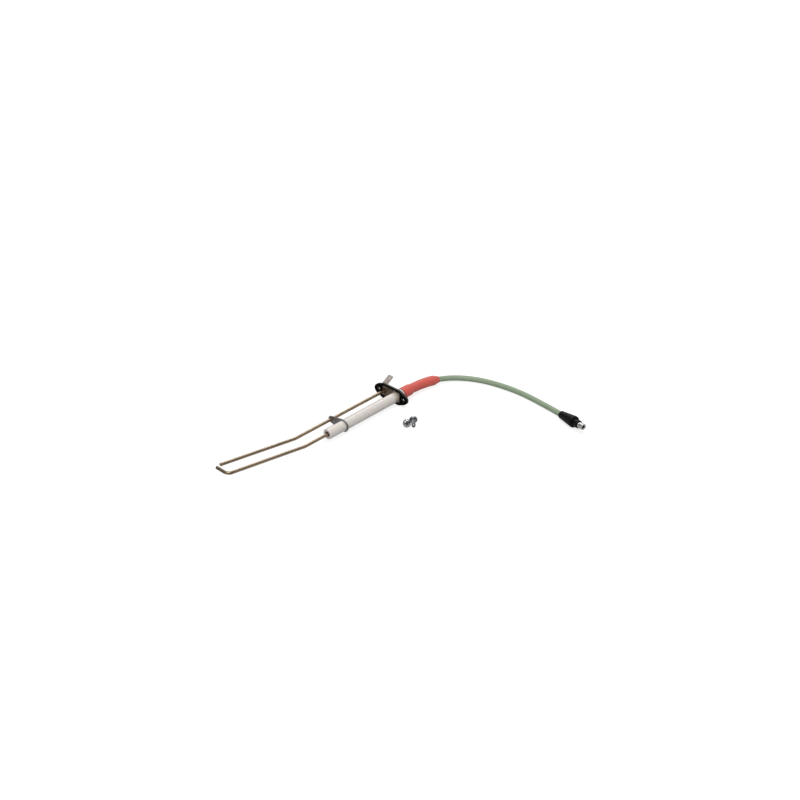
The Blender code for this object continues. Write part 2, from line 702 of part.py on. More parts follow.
def make_plug(frame, slide, rubber, collar_black, bright, copper, spring_bronze):
    cable_bore = CABLE_RADIUS + RUBBER_GAP
    barrel_bore = BARREL_RADIUS + SEAT_GAP
    spigot_radius = barrel_bore + SPIGOT_WALL
    spigot_room = spigot_radius + SEAT_GAP
    nose = PLUG_CONE_LENGTH + PLUG_NOSE
    spigot_start = nose - SPIGOT_LENGTH
    boot = [
        (0.0, cable_bore),
        (0.0, PLUG_REAR_RADIUS),
        (PLUG_CONE_LENGTH, PLUG_RADIUS),
        (nose - 0.4 * MM, PLUG_RADIUS - 0.2 * MM),
        (nose, PLUG_RADIUS - 0.7 * MM),
        (nose, spigot_room),
        (spigot_start - SEAT_GAP, spigot_room),
        (spigot_start - SEAT_GAP, cable_bore),
    ]
    add_object("plug_boot", turned(boot, frame, 32, True), rubber, slide)

    face = nose + SEAT_GAP
    front = face + COLLAR_LENGTH
    collar = [
        (spigot_start, barrel_bore),
        (spigot_start, spigot_radius),
        (face, spigot_radius),
        (face, COLLAR_RADIUS),
        (front - 0.6 * MM, COLLAR_RADIUS),
        (front, COLLAR_RADIUS - 0.6 * MM),
        (front, barrel_bore),
    ]
    add_object("plug_collar", turned(collar, frame, ROUND_SMALL, True), collar_black, slide)

    rear = CABLE_IN_PLUG + 2.0 * MM
    crimp_bore = CONDUCTOR_RADIUS + CONDUCTOR_GAP
    crimp_end = rear + 5.0 * MM
    shoulder = front + SEAT_GAP
    tip = shoulder + FERRULE_LENGTH
    spring_room = tip - SPRING_LENGTH - 2.0 * MM
    contact = [
        (crimp_end, 0.0),
        (crimp_end, crimp_bore),
        (rear, crimp_bore),
        (rear, BARREL_RADIUS),
        (shoulder, BARREL_RADIUS),
        (shoulder, FERRULE_RADIUS),
        (tip - 0.3 * MM, FERRULE_RADIUS),
        (tip, FERRULE_RADIUS - 0.3 * MM),
        (tip, FERRULE_BORE),
        (spring_room, FERRULE_BORE),
        (spring_room, 0.0),
    ]
    add_object("plug_contact", turned(contact, frame, ROUND_SMALL, False), bright, slide)

    spring_outer = FERRULE_BORE - 0.6 * SEAT_GAP
    spring_end = tip - 1.0 * MM
    spring = [
        (spring_end - SPRING_LENGTH, spring_outer - SPRING_WALL),
        (spring_end - SPRING_LENGTH, spring_outer),
        (spring_end, spring_outer),
        (spring_end, spring_outer - SPRING_WALL),
    ]
    slit_sweep = math.radians(320)
    add_object(
        "contact_spring", turned(spring, frame, 16, True, slit_sweep), spring_bronze, slide
    )

    stub = [frame @ Vector((along, 0.0, 0.0)) for along in (CABLE_IN_PLUG + SEAT_GAP, crimp_end - 0.5 * MM)]
    add_tube("rear_conductor", stub, CONDUCTOR_RADIUS, copper, slide, 2)


def make_screw(name, spot, heading, zinc):
    """A pan-head screw lying on its head's rim and the end of its shank."""
    rim = SCREW_HEAD_HEIGHT
    end = SCREW_HEAD_HEIGHT + SCREW_LENGTH
    land = end - SCREW_POINT
    dip = math.atan2(SCREW_HEAD_RADIUS - SCREW_RADIUS, land - rim)
    ahead = Vector((
        math.cos(heading) * math.cos(dip),
        math.sin(heading) * math.cos(dip),
        -math.sin(dip),
    ))
    side = Vector((0.0, 0.0, 1.0)).cross(ahead).normalized()
    frame = Matrix((ahead, side, ahead.cross(side))).transposed().to_4x4()
    rim_height = SCREW_HEAD_RADIUS * math.cos(dip)
    top = Vector((spot.x, spot.y, rim_height + rim * math.sin(dip)))
    place = Matrix.Translation(top) @ frame
    lift = empty(name + "_lift", Vector((spot.x, spot.y, 0.0)))
    head = SCREW_HEAD_RADIUS
    profile = [
        (0.0, 0.0),
        (0.0, 0.72 * head),
        (0.12 * rim, 0.86 * head),
        (0.36 * rim, 0.97 * head),
        (0.62 * rim, head),
        (rim, head),
        (rim, SCREW_RADIUS),
        (land, SCREW_RADIUS),
        (end, SCREW_RADIUS - SCREW_POINT),
        (end, 0.0),
    ]
    screw = add_object(name, turned(profile, place, 32, False), zinc, lift)

    half, reach = RECESS_WIDTH / 2, RECESS_REACH
    cross = []
    for quarter in range(4):
        angle = quarter * math.pi / 2
        cos, sin = math.cos(angle), math.sin(angle)
        for a, b in ((half, half), (reach, half), (reach, -half)):
            cross.append((a * cos + b * sin, -a * sin + b * cos))
    recess = sheet(cross, [], -1.0 * MM, RECESS_DEPTH)
    bmesh.ops.transform(recess, matrix=place, verts=recess.verts)
    cut(screw, add_object(name + "_recess_cutter", recess, zinc, lift))


def main():
    clear_scene()
    plate_steel = finish("plate steel", (0.16, 0.14, 0.12), 0.5, 0.9)
    gasket_black = finish("gasket black", (0.015, 0.015, 0.015), 0.8, 0.0)
    glaze = finish("glazed ceramic", (0.78, 0.76, 0.72), 0.25, 0.0)
    cement = finish("brown cement", (0.12, 0.07, 0.04), 0.9, 0.0)
    fired_cement = finish("grey cement", (0.35, 0.3, 0.26), 0.9, 0.0)
    wire = finish("heat-tinted wire", (0.42, 0.31, 0.2), 0.35, 1.0)
    clip_steel = finish("clip steel", (0.3, 0.3, 0.3), 0.4, 1.0)
    tinned = finish("tinned tab", (0.62, 0.56, 0.53), 0.4, 0.8)
    rivet_steel = finish("rivet steel", (0.5, 0.45, 0.42), 0.4, 1.0)
    brass = finish("brass", (0.7, 0.5, 0.22), 0.3, 1.0)
    silicone = finish("red silicone", (0.7, 0.12, 0.09), 0.55, 0.0)
    jacket = finish("green silicone", (0.27, 0.36, 0.24), 0.55, 0.0)
    copper = finish("tinned copper", (0.7, 0.62, 0.55), 0.35, 1.0)
    rubber = finish("black rubber", (0.012, 0.012, 0.013), 0.5, 0.0)
    collar_black = finish("black plastic", (0.02, 0.02, 0.02), 0.35, 0.0)
    bright = finish("nickel plate", (0.7, 0.68, 0.65), 0.2, 1.0)
    spring_bronze = finish("spring bronze", (0.6, 0.42, 0.25), 0.35, 1.0)
    zinc = finish("bright zinc", (0.65, 0.66, 0.68), 0.25, 1.0)

    make_flange(plate_steel, gasket_black)
    make_ceramic(glaze, cement, fired_cement)
    make_rods(wire, brass)
    make_clip(clip_steel)
    make_tab(tinned, rivet_steel)

    route, plug_frame = lead_route()
    slide = empty("lead_slide", ELECTRODE_AXIS)
    make_boot(route, slide, silicone, brass, copper)
    make_cable(route, slide, jacket)
    make_plug(plug_frame, slide, rubber, collar_black, bright, copper, spring_bronze)
    for name, (spot, heading) in SCREWS.items():
        make_screw(name, spot, heading, zinc)


main()
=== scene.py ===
# Looks of a burner's ignition electrode with its lead and two screws.
# Frame: +X from the flange towards the spark gap, +Y towards the ignition rod, z = 0 is the table.
# The (along, radius, round) rows of a profile are in mm. A value written with * mm is in metres.
from math import atan2, cos, exp, hypot, radians, sin, sqrt, tan, tau

import bmesh
import bpy
from mathutils import Matrix, Vector, noise


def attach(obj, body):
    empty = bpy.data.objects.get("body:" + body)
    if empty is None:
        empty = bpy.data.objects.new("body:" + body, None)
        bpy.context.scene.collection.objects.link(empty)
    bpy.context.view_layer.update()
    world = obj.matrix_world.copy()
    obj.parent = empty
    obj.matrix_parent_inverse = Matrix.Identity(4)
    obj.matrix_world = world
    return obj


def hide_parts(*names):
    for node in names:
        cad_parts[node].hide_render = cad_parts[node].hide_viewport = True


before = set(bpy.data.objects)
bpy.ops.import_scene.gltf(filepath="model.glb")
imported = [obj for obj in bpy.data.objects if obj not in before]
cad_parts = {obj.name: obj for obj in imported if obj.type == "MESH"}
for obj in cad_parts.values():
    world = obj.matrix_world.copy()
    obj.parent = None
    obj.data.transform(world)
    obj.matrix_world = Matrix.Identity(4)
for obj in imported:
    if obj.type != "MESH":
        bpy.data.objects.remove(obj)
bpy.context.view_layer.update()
mm = 0.001

axisHeight = 7.7 * mm
ceramicY = 6.8 * mm
earthY = -9.0 * mm
electrodeAxis = Vector((0, ceramicY, axisHeight))


def linked(name, data):
    made = bpy.data.objects.new(name, data)
    bpy.context.scene.collection.objects.link(made)
    return made


class Graph:
    # short names for making and joining the shader nodes of one tree

    def __init__(self, tree):
        self.tree = tree
        self.shader = tree.nodes.get("Principled BSDF")

    def add(self, kind, links=None, **settings):
        node = self.tree.nodes.new(kind)
        for key, value in settings.items():
            setattr(node, key, value)
        for key, value in (links or {}).items():
            self.put(node.inputs[key], value)
        return node

    def put(self, socket, value):
        if isinstance(value, bpy.types.NodeSocket):
            self.tree.links.new(value, socket)
        elif isinstance(value, tuple) and len(value) == 3 and socket.type == "RGBA":
            socket.default_value = (*value, 1)
        else:
            socket.default_value = value

    def settle(self, **values):
        for key, value in values.items():
            self.put(self.shader.inputs[key.replace("_", " ")], value)

    def use(self, name, **links):
        return self.add("ShaderNodeGroup", links, node_tree=effects[name]).outputs

    def patches(self, at, scale, amount):
        return self.use("patches", At=at, Scale=scale, Amount=amount)["Mask"]

    def noise(self, at, scale, detail=3.0, rough=0.55, distortion=0.0):
        links = {"Vector": at, "Scale": scale, "Detail": detail, "Roughness": rough, "Distortion": distortion}
        return self.add("ShaderNodeTexNoise", links).outputs["Fac"]

    def stretch(self, at, scale):
        return self.add("ShaderNodeMapping", {"Vector": at, "Scale": scale}).outputs[0]

    def span(self, value, low, high, toLow=0.0, toHigh=1.0, smooth=True):
        links = {"Value": value, "From Min": low, "From Max": high, "To Min": toLow, "To Max": toHigh}
        kind = "SMOOTHSTEP" if smooth else "LINEAR"
        return self.add("ShaderNodeMapRange", links, interpolation_type=kind).outputs[0]

    def calc(self, what, a, b=0.0):
        return self.add("ShaderNodeMath", {0: a, 1: b}, operation=what, use_clamp=False).outputs[0]

    def times(self, a, b):
        return self.calc("MULTIPLY", a, b)

    def plus(self, a, b):
        return self.calc("ADD", a, b)

    def minus(self, a, b):
        return self.calc("SUBTRACT", a, b)

    def blend(self, a, b, share):
        return self.plus(self.times(a, share), self.times(b, 1 - share))

    def away(self, y, z, cy, cz):
        # distance from a line along X
        dy, dz = self.minus(y, cy), self.minus(z, cz)
        return self.calc("SQRT", self.plus(self.calc("POWER", dy, 2.0), self.calc("POWER", dz, 2.0)))

    def mix(self, share, a, b):
        node = self.add("ShaderNodeMix", data_type="RGBA")
        self.put(node.inputs[0], share)
        self.put(node.inputs[6], a)
        self.put(node.inputs[7], b)
        return node.outputs[2]

    def tint(self, tone, mask, amount, colour):
        return self.mix(self.times(mask, amount), tone, colour)

    def bump(self, height, distance, strength):
        links = {"Height": height, "Distance": distance, "Strength": strength}
        return self.add("ShaderNodeBump", links).outputs[0]

    def apart(self, vector):
        return self.add("ShaderNodeSeparateXYZ", {0: vector}).outputs


effects = {}


def effect(name, inputs, outputs):
    # a shader node group: its graph, its input sockets and its output sockets
    tree = bpy.data.node_groups.new(name, "ShaderNodeTree")
    for label, value in inputs.items():
        kind = "NodeSocketVector" if label == "At" or isinstance(value, tuple) else "NodeSocketFloat"
        socket = tree.interface.new_socket(label, in_out="INPUT", socket_type=kind)
        if value is not None:
            socket.default_value = value
    for label in outputs:
        tree.interface.new_socket(label, in_out="OUTPUT", socket_type="NodeSocketFloat")
    effects[name] = tree
    return Graph(tree), tree.nodes.new("NodeGroupInput").outputs, tree.nodes.new("NodeGroupOutput").inputs


def makeEffects():
    # soft uneven patches, for tints, stains and handling marks
    g, into, out = effect("patches", {"At": None, "Scale": 200.0, "Amount": 0.5}, ["Mask"])
    broad = g.noise(into["At"], into["Scale"], 4.0, 0.6, 0.6)
    fine = g.noise(into["At"], g.times(into["Scale"], 4.7), 3.0, 0.6)
    low = g.minus(0.72, g.times(into["Amount"], 0.4))
    g.put(out["Mask"], g.span(g.blend(broad, fine, 0.7), low, g.plus(low, 0.16)))

    # fine surface grain: its height for bump and a mask for roughness
    g, into, out = effect("grain", {"At": None, "Scale": 3000.0}, ["Height", "Mask"])
    small = g.noise(into["At"], into["Scale"], 4.0, 0.7)
    wide = g.noise(into["At"], g.times(into["Scale"], 0.12), 3.0, 0.5)
    g.put(out["Height"], g.blend(small, wide, 0.6))
    g.put(out["Mask"], g.span(wide, 0.35, 0.65))

    # scratches and drawing lines along one direction
    g, into, out = effect("drawLines", {"At": None, "Along": (60.0, 4000.0, 4000.0)}, ["Height", "Mask"])
    lines = g.noise(g.stretch(into["At"], into["Along"]), 1.0, 3.0, 0.7)
    g.put(out["Height"], lines)
    g.put(out["Mask"], g.span(lines, 0.58, 0.68))

    # sparse specks
    g, into, out = effect("specks", {"At": None, "Scale": 500.0, "Size": 0.12}, ["Mask"])
    cells = g.add("ShaderNodeTexVoronoi", {"Vector": into["At"], "Scale": into["Scale"], "Randomness": 1.0})
    chosen = g.span(g.apart(cells.outputs["Color"])[0], 0.78, 0.8)
    dot = g.span(cells.outputs["Distance"], into["Size"], g.times(into["Size"], 0.5))
    g.put(out["Mask"], g.times(dot, chosen))

    # worn or exposed edges, from the bevelled normal against the true one
    g, into, out = effect("edges", {"Radius": 0.0002}, ["Mask"])
    bevel = g.add("ShaderNodeBevel", {"Radius": into["Radius"]}, samples=6).outputs[0]
    true = g.add("ShaderNodeNewGeometry").outputs["Normal"]
    match = g.add("ShaderNodeVectorMath", {0: bevel, 1: true}, operation="DOT_PRODUCT").outputs["Value"]
    g.put(out["Mask"], g.span(match, 0.995, 0.9))


makeEffects()


def surface(name):
    # a new material, its graph and the place in the piece's own space
    material = bpy.data.materials.new(name)
    material.use_nodes = True
    g = Graph(material.node_tree)
    return material, g, g.add("ShaderNodeTexCoord").outputs["Object"]


def rubbery(name, look):
    # silicone or rubber: broad tone changes, fine grain and a painted sheen, a lighter colour at grazing
    # angles
    material, g, at = surface(name)
    patches = g.patches(at, look["patchScale"], 0.55)
    grain = g.use("grain", At=at, Scale=look["grainScale"])
    dust = g.use("specks", At=at, Scale=look["speckScale"], Size=0.16)["Mask"]
    # painted sheen: the facing weight mixes the rim colour in towards grazing angles
    paintedSheenMask = g.add("ShaderNodeLayerWeight", {"Blend": 0.35}).outputs["Facing"]
    tone = g.tint(look["colour"], patches, 0.55, look["patch"])
    tone = g.tint(tone, dust, 0.5, look["speck"])
    g.settle(
        Base_Color=g.tint(tone, paintedSheenMask, look["paintedSheen"], look["rim"]),
        Roughness=g.span(grain["Mask"], 0.0, 1.0, look["rough"] - 0.06, look["rough"] + 0.08),
        Normal=g.bump(grain["Height"], look["relief"], 0.6),
        Specular_IOR_Level=look["specular"],
    )
    return material


def metallic(name, look):
    # metal with drawing or rolling lines, tint patches and brighter worn edges
    material, g, at = surface(name)
    lines = g.use("drawLines", At=at, Along=look["along"])
    patches = g.patches(at, look["patchScale"], look["patchAmount"])
    grain = g.use("grain", At=at, Scale=2500.0)
    worn = g.use("edges", Radius=0.00018)["Mask"]
    dull = g.plus(grain["Mask"], patches)
    tone = g.mix(patches, look["colour"], look["patch"])
    tone = g.tint(tone, lines["Mask"], 0.35, look["line"])
    g.settle(
        Base_Color=g.tint(tone, worn, look["wear"], look["edge"]),
        Metallic=look.get("metal", 1.0),
        Roughness=g.span(dull, 0.0, 2.0, look["rough"] - 0.07, look["rough"] + 0.13),
        Normal=g.bump(g.blend(lines["Height"], grain["Height"], 0.7), look["relief"], 0.5),
        Specular_IOR_Level=0.5,
    )
    return material


def newPiece(name, bm, material, body, slotName, *stands, flat=False):
    bmesh.ops.recalc_face_normals(bm, faces=bm.faces)
    mesh = bpy.data.meshes.new(name)
    bm.to_mesh(mesh)
    bm.free()
    mesh.shade_smooth()
    mesh.set_sharp_from_angle(angle=radians(60 if flat else 38))
    mesh.materials.append(material)
    piece = linked(name, mesh)
    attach(piece, body)
    if stands:
        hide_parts(*stands)
    if flat:
        evenNormals(piece)
    return piece


def evenNormals(piece):
    # keeps wide flat faces flat beside their eased edges
    piece.modifiers.new("evenNormals", "WEIGHTED_NORMAL").keep_sharp = True


def carved(piece, cutters, sharp):
    # cuts the cutters out of the piece; the new faces keep the cutters' materials
    for cutter in cutters:
        modifier = piece.modifiers.new(cutter.name, "BOOLEAN")
        modifier.operation, modifier.solver, modifier.object = "DIFFERENCE", "EXACT", cutter
        modifier.use_self, modifier.material_mode = True, "TRANSFER"
    bpy.context.view_layer.update()
    evaluated = piece.evaluated_get(bpy.context.evaluated_depsgraph_get())
    finished = bpy.data.meshes.new_from_object(evaluated)
    finished.set_sharp_from_angle(angle=radians(sharp))
    piece.modifiers.clear()
    piece.data = finished
    evenNormals(piece)
    for cutter in cutters:
        bpy.data.objects.remove(cutter)
    return finished


def frameAt(origin, ahead, upHint=Vector((0, 0, 1))):
    # a place whose local X runs ahead
    ahead = ahead.normalized()
    side = upHint.cross(ahead).normalized()
    turn = Matrix((ahead, side, ahead.cross(side))).transposed().to_4x4()
    return Matrix.Translation(origin) @ turn


def rim(place, along, radius, angle):
    return place @ Vector((along, radius * cos(angle), radius * sin(angle)))


def uneven(size, step, turns=1.0):
    # a slow random swelling over a round surface, for the wobble of a profile
    def swell(along, angle):
        return size * noise.noise(Vector((along * step, cos(angle) * turns, sin(angle) * turns)))
    return swell


def stitch(bm, rings, closed=False, capped=False):
    # faces between rings with equal numbers of vertices
    for first, second in zip(rings, rings[1:] + (rings[:1] if closed else [])):
        for k in range(len(first)):
            nxt = (k + 1) % len(first)
            bm.faces.new((first[k], first[nxt], second[nxt], second[k]))
    if capped:
        bm.faces.new(rings[0])
        bm.faces.new(rings[-1][::-1])


def scaled(rows):
    return [tuple(value * mm for value in row) for row in rows]


def softened(profile, closed=False, steps=3):
    # rounds the corners of (along, radius, round) rows; a missing third number means sharp
    points = []
    count = len(profile)
    for i, row in enumerate(profile):
        here = Vector(row[:2])
        blunt = row[2] if len(row) > 2 else 0.0
        if not blunt or (not closed and i in (0, count - 1)):
            points.append(here)
            continue
        back = Vector(profile[i - 1][:2]) - here
        on = Vector(profile[(i + 1) % count][:2]) - here
        reach = min(blunt, back.length * 0.48, on.length * 0.48)
        start, end = here + back.normalized() * reach, here + on.normalized() * reach
        for k in range(steps + 1):
            t = k / steps
            points.append(start.lerp(here, t).lerp(here.lerp(end, t), t))
    return points


def lathe(profile, place=None, sides=64, closed=False, sweep=tau, wobble=None, bm=None):
    # turns rows about local X
    bm = bm or bmesh.new()
    place = place or Matrix.Translation(electrodeAxis)
    full = sweep == tau
    steps = sides if full else sides + 1
    rings = []
    for along, radius in softened(scaled(profile), closed):
        if radius <= 1e-9:
            rings.append([bm.verts.new(place @ Vector((along, 0, 0)))])
            continue
        ring = []
        for k in range(steps):
            angle = sweep * k / sides
            reach = radius + (wobble(along, angle) if wobble else 0.0)
            ring.append(bm.verts.new(rim(place, along, reach, angle)))
        rings.append(ring)
    for first, second in zip(rings, rings[1:] + (rings[:1] if closed else [])):
        for k in range(sides):
            nxt = (k + 1) % steps
            corners = []
            for ring, index in ((first, k), (first, nxt), (second, nxt), (second, k)):
                vert = ring[0] if len(ring) == 1 else ring[index]
                if vert not in corners:
                    corners.append(vert)
            bm.faces.new(corners)
    if not full:
        bm.faces.new([ring[0] for ring in rings])
        bm.faces.new([ring[-1] for ring in reversed(rings)])
    return bm


def rounded(corners, radii, steps=24):
    # a path through the corners with an arc at each inner one
    path = [corners[0]]
    for before, corner, after, radius in zip(corners, corners[1:], corners[2:], radii):
        into, on = (corner - before).normalized(), (after - corner).normalized()
        turn = into.angle(on)
        start = corner - into * radius * tan(turn / 2)
        centre = start + (on - into * into.dot(on)).normalized() * radius
        normal = into.cross(on).normalized()
        for k in range(steps + 1):
            path.append(centre + Matrix.Rotation(turn * k / steps, 3, normal) @ (start - centre))
    return path + [corners[-1]]


def catmull(points, perSpan=24):
    # a smooth curve through the points, even where they are unevenly spaced
    guides = [points[0] * 2 - points[1]] + points + [points[-1] * 2 - points[-2]]
    fine = [points[0]]
    for p0, p1, p2, p3 in zip(guides, guides[1:], guides[2:], guides[3:]):
        t1 = sqrt((p1 - p0).length)
        t2 = t1 + sqrt((p2 - p1).length)
        t3 = t2 + sqrt((p3 - p2).length)
        for step in range(1, perSpan + 1):
            t = t1 + (t2 - t1) * step / perSpan
            a1 = p0.lerp(p1, t / t1)
            a2 = p1.lerp(p2, (t - t1) / (t2 - t1))
            a3 = p2.lerp(p3, (t - t2) / (t3 - t2))
            b1, b2 = a1.lerp(a2, t / t2), a2.lerp(a3, (t - t1) / (t3 - t1))
            fine.append(b1.lerp(b2, (t - t1) / (t2 - t1)))
    return fine


class Route:
    # a path read by the distance along it

    def __init__(self, points):
        self.points = points
        self.marks = [0.0]
        for a, b in zip(points, points[1:]):
            self.marks.append(self.marks[-1] + (b - a).length)
        self.length = self.marks[-1]

    def at(self, distance):
        distance = min(max(distance, 0.0), self.length)
        low, high = 0, len(self.marks) - 1
        while high - low > 1:
            middle = (low + high) // 2
            low, high = (middle, high) if self.marks[middle] <= distance else (low, middle)
        share = (distance - self.marks[low]) / (self.marks[high] - self.marks[low])
        return self.points[low].lerp(self.points[high], share)

    def heading(self, distance, reach=1.2 * mm):
        return (self.at(distance + reach) - self.at(distance - reach)).normalized()

    def frame(self, distance):
        return frameAt(self.at(distance), self.heading(distance))

    def between(self, start, end, spacing):
        count = max(2, round((end - start) / spacing))
        return [self.at(start + (end - start) * k / count) for k in range(count + 1)]


def resample(path, spacing):
    route = Route(path)
    return route.between(0.0, route.length, spacing)


def divided(rows, spacing):
    # the rows with even steps added between them
    dense = []
    for (d0, r0), (d1, r1) in zip(rows, rows[1:]):
        count = max(1, round(abs(d1 - d0) / spacing))
        dense += [(d0 + (d1 - d0) * k / count, r0 + (r1 - r0) * k / count) for k in range(count)]
    return dense + [rows[-1]]


def sleeve(route, outer, inner, shape, droop, sides=64, spacing=0.8 * mm):
    # a soft sleeve along the route, from the rows of its outside and of its bore
    outside = divided([tuple(point) for point in softened(scaled(outer), steps=4)], spacing)
    bore = divided(scaled(inner), 2 * spacing)
    bm = bmesh.new()
    rings = []
    for distance, radius in outside:
        place = Matrix.Translation(droop(distance)) @ route.frame(distance)
        angles = [tau * k / sides for k in range(sides)]
        rings.append([bm.verts.new(rim(place, 0, radius + shape(distance, a), a)) for a in angles])
    for distance, radius in reversed(bore):
        place = route.frame(distance)
        rings.append([bm.verts.new(rim(place, 0, radius, tau * k / sides)) for k in range(sides)])
    stitch(bm, rings, closed=True)
    return bm


def bar(path, radius, sides=32, blunt=0.25 * mm, shape=None, bm=None):
    # a round bar swept along a path without twist, with rounded ends
    route = Route(path)
    stations = [(0.0, radius - blunt), (blunt * 0.3, radius - blunt * 0.45), (blunt, radius)]
    stations += [(mark, radius) for mark in route.marks if blunt * 2 < mark < route.length - blunt * 2]
    stations += [(route.length - mark, size) for mark, size in reversed(stations[:3])]
    bm = bm or bmesh.new()
    rings = []
    side = None
    for distance, size in stations:
        ahead = route.heading(distance, 0.3 * mm)
        side = Vector((0, 0, 1)).cross(ahead) if side is None else side - ahead * side.dot(ahead)
        side.normalize()
        up = ahead.cross(side)
        middle = route.at(distance)
        ring = []
        for k in range(sides):
            angle = tau * k / sides
            reach = size + (shape(distance, angle) if shape else 0.0)
            ring.append(bm.verts.new(middle + side * reach * cos(angle) + up * reach * sin(angle)))
        rings.append(ring)
    stitch(bm, rings, capped=True)
    return bm


def band(circles, sides=96):
    # the outline round some circles, each point kept as (centre y, centre z, radius, angle)
    points = []
    for cy, cz, r in circles:
        for k in range(sides):
            a = tau * k / sides
            points.append((cy + r * cos(a), cz + r * sin(a), cy, cz, r, a))
    points.sort(key=lambda p: (round(p[0], 9), round(p[1], 9)))

    def half(ordered):
        chain = []
        for p in ordered:
            while len(chain) > 1:
                a, b = chain[-2:]
                if (b[0] - a[0]) * (p[1] - a[1]) - (b[1] - a[1]) * (p[0] - a[0]) > 1e-13:
                    break
                chain.pop()
            chain.append(p)
        return chain[:-1]

    return [p[2:] for p in half(points) + half(points[::-1])]


def ringOf(cy, cz, r, sides=48):
    return [(cy, cz, -r, tau * k / sides) for k in range(sides)]


def loopAt(outline, inset):
    # the outline drawn in by the inset; a hole has a negative radius, so its edge opens instead
    points = []
    for cy, cz, r, a in outline:
        reach = abs(r) - inset if r > 0 else abs(r) + inset
        points.append((cy + reach * cos(a), cz + reach * sin(a)))
    return points


def sheetMetal(outlines, back, front, edge, frontEdge=None):
    # a flat sheet square to X with eased edges; the first outline is the outside
    frontEdge = frontEdge or edge
    bm = bmesh.new()
    levels = [(back, edge), (back + edge * 0.35, edge * 0.3), (back + edge, 0.0)]
    levels += [(front - frontEdge, 0.0), (front - frontEdge * 0.35, frontEdge * 0.3), (front, frontEdge)]
    stacks = []
    for outline in outlines:
        rows = [[bm.verts.new((x, y, z)) for y, z in loopAt(outline, inset)] for x, inset in levels]
        stitch(bm, rows)
        stacks.append(rows)
    for level in (0, -1):
        edges = []
        for rows in stacks:
            loop = rows[level]
            edges += [bm.edges.get((a, b)) for a, b in zip(loop, loop[1:] + loop[:1])]
        bmesh.ops.triangle_fill(bm, edges=edges, use_beauty=True)
    return bm


def bead(place, radius, height, lumps, seed, sides=40):
    # a weld bead: a low uneven dome about local X
    rows = [(0.0, 1.0), (0.35, 0.96), (0.75, 0.8), (1.0, 0.6), (0.98, 0.3), (0.9, 0.0)]

    def lumpy(along, angle):
        rise = along / mm / height
        spot = Vector((cos(angle) * 2.1, sin(angle) * 2.1, seed + rise))
        return lumps * mm * noise.noise(spot) * (0.4 + 0.6 * (1 - rise))

    return lathe([(share * height, size * radius) for share, size in rows], place, sides, wobble=lumpy)


# The cord's route comes first, because the boot and the plug follow it. Its points are in mm.
routeRows = [
    (-6.1, 6.8, 7.7), (-16.0, 6.8, 7.7), (-24.0, 6.8, 7.7), (-32.0, 6.9, 7.65), (-39.5, 8.2, 7.2),
    (-46.5, 10.0, 6.4), (-55.0, 12.4, 5.4), (-63.6, 15.8, 4.2), (-70.6, 20.3, 3.3), (-76.2, 26.0, 2.8),
    (-80.6, 32.8, 2.7), (-84.1, 40.2, 2.7), (-87.0, 48.6, 2.7), (-90.0, 61.8, 2.7), (-91.6, 74.0, 2.7),
    (-92.1, 86.0, 2.7), (-91.6, 98.0, 2.7), (-90.4, 110.0, 2.75), (-88.9, 122.0, 3.0),
]
cable = {"radius": 2.65 * mm, "start": 29.5 * mm, "inPlug": 9.0 * mm}

# The plug's sizes are in mm. It lies on its cone, so its axis rises towards the ferrule.
plug = {
    "rear": 3.6, "wide": 5.7, "cone": 19.0, "nose": 1.4, "bore": 2.9, "socket": 3.6,
    "start": (-86.3, 135.9), "heading": radians(75),
}
plugLift = atan2(plug["wide"] - plug["rear"], plug["cone"])
plugAhead = Vector((
    cos(plug["heading"]) * cos(plugLift),
    sin(plug["heading"]) * cos(plugLift),
    sin(plugLift),
))
plugStart = Vector((*plug["start"], plug["rear"] * cos(plugLift))) * mm
plugFrame = frameAt(plugStart, plugAhead)
leadPoints = [Vector(row) * mm for row in routeRows]
leadPoints += [plugStart + plugAhead * cable["inPlug"] * share for share in (0.0, 0.5, 1.0)]
lead = Route(resample(catmull(leadPoints), 0.8 * mm))
print("lead route", round(lead.length * 1000, 1), "mm")


def makeCamera():
    shot = {
        "aim": (2.4, 0, 7.7), "around": radians(46.5), "up": radians(31), "far": 1.2,
        "lens": 56.7, "shift": (0.01226, -0.00678),
    }
    ahead = -Vector((
        sin(shot["around"]) * cos(shot["up"]),
        cos(shot["around"]) * cos(shot["up"]),
        sin(shot["up"]),
    ))
    data = bpy.data.cameras.new("camera")
    data.lens, data.sensor_width = shot["lens"], 36
    data.shift_x, data.shift_y = shot["shift"]
    data.clip_start, data.clip_end = 0.05, 20
    camera = linked("camera", data)
    camera.location = Vector(shot["aim"]) * mm - ahead * shot["far"]
    camera.rotation_euler = ahead.to_track_quat("-Z", "Y").to_euler()
    bpy.context.scene.camera = camera


def makeLamps():
    # place, size, power and colour, all aimed at the middle of the part
    lamps = {
        "keyLight": ((0.1, 0.3, 1.5), 0.8, 10.5, (1.0, 0.99, 0.97)),
        "fillLight": ((1.3, 0.6, 0.7), 0.7, 3.6, (0.99, 0.99, 1.0)),
        "backLight": ((-0.8, -0.8, 0.9), 0.7, 3.2, (1.0, 1.0, 1.0)),
    }
    target = Vector((0.03, 0.04, 0))
    for name, (spot, size, power, tint) in lamps.items():
        light = bpy.data.lights.new(name, "AREA")
        light.shape, light.size, light.energy, light.color = "DISK", size, power, tint
        lamp = linked(name, light)
        lamp.location = spot
        lamp.rotation_euler = (target - Vector(spot)).to_track_quat("-Z", "Y").to_euler()


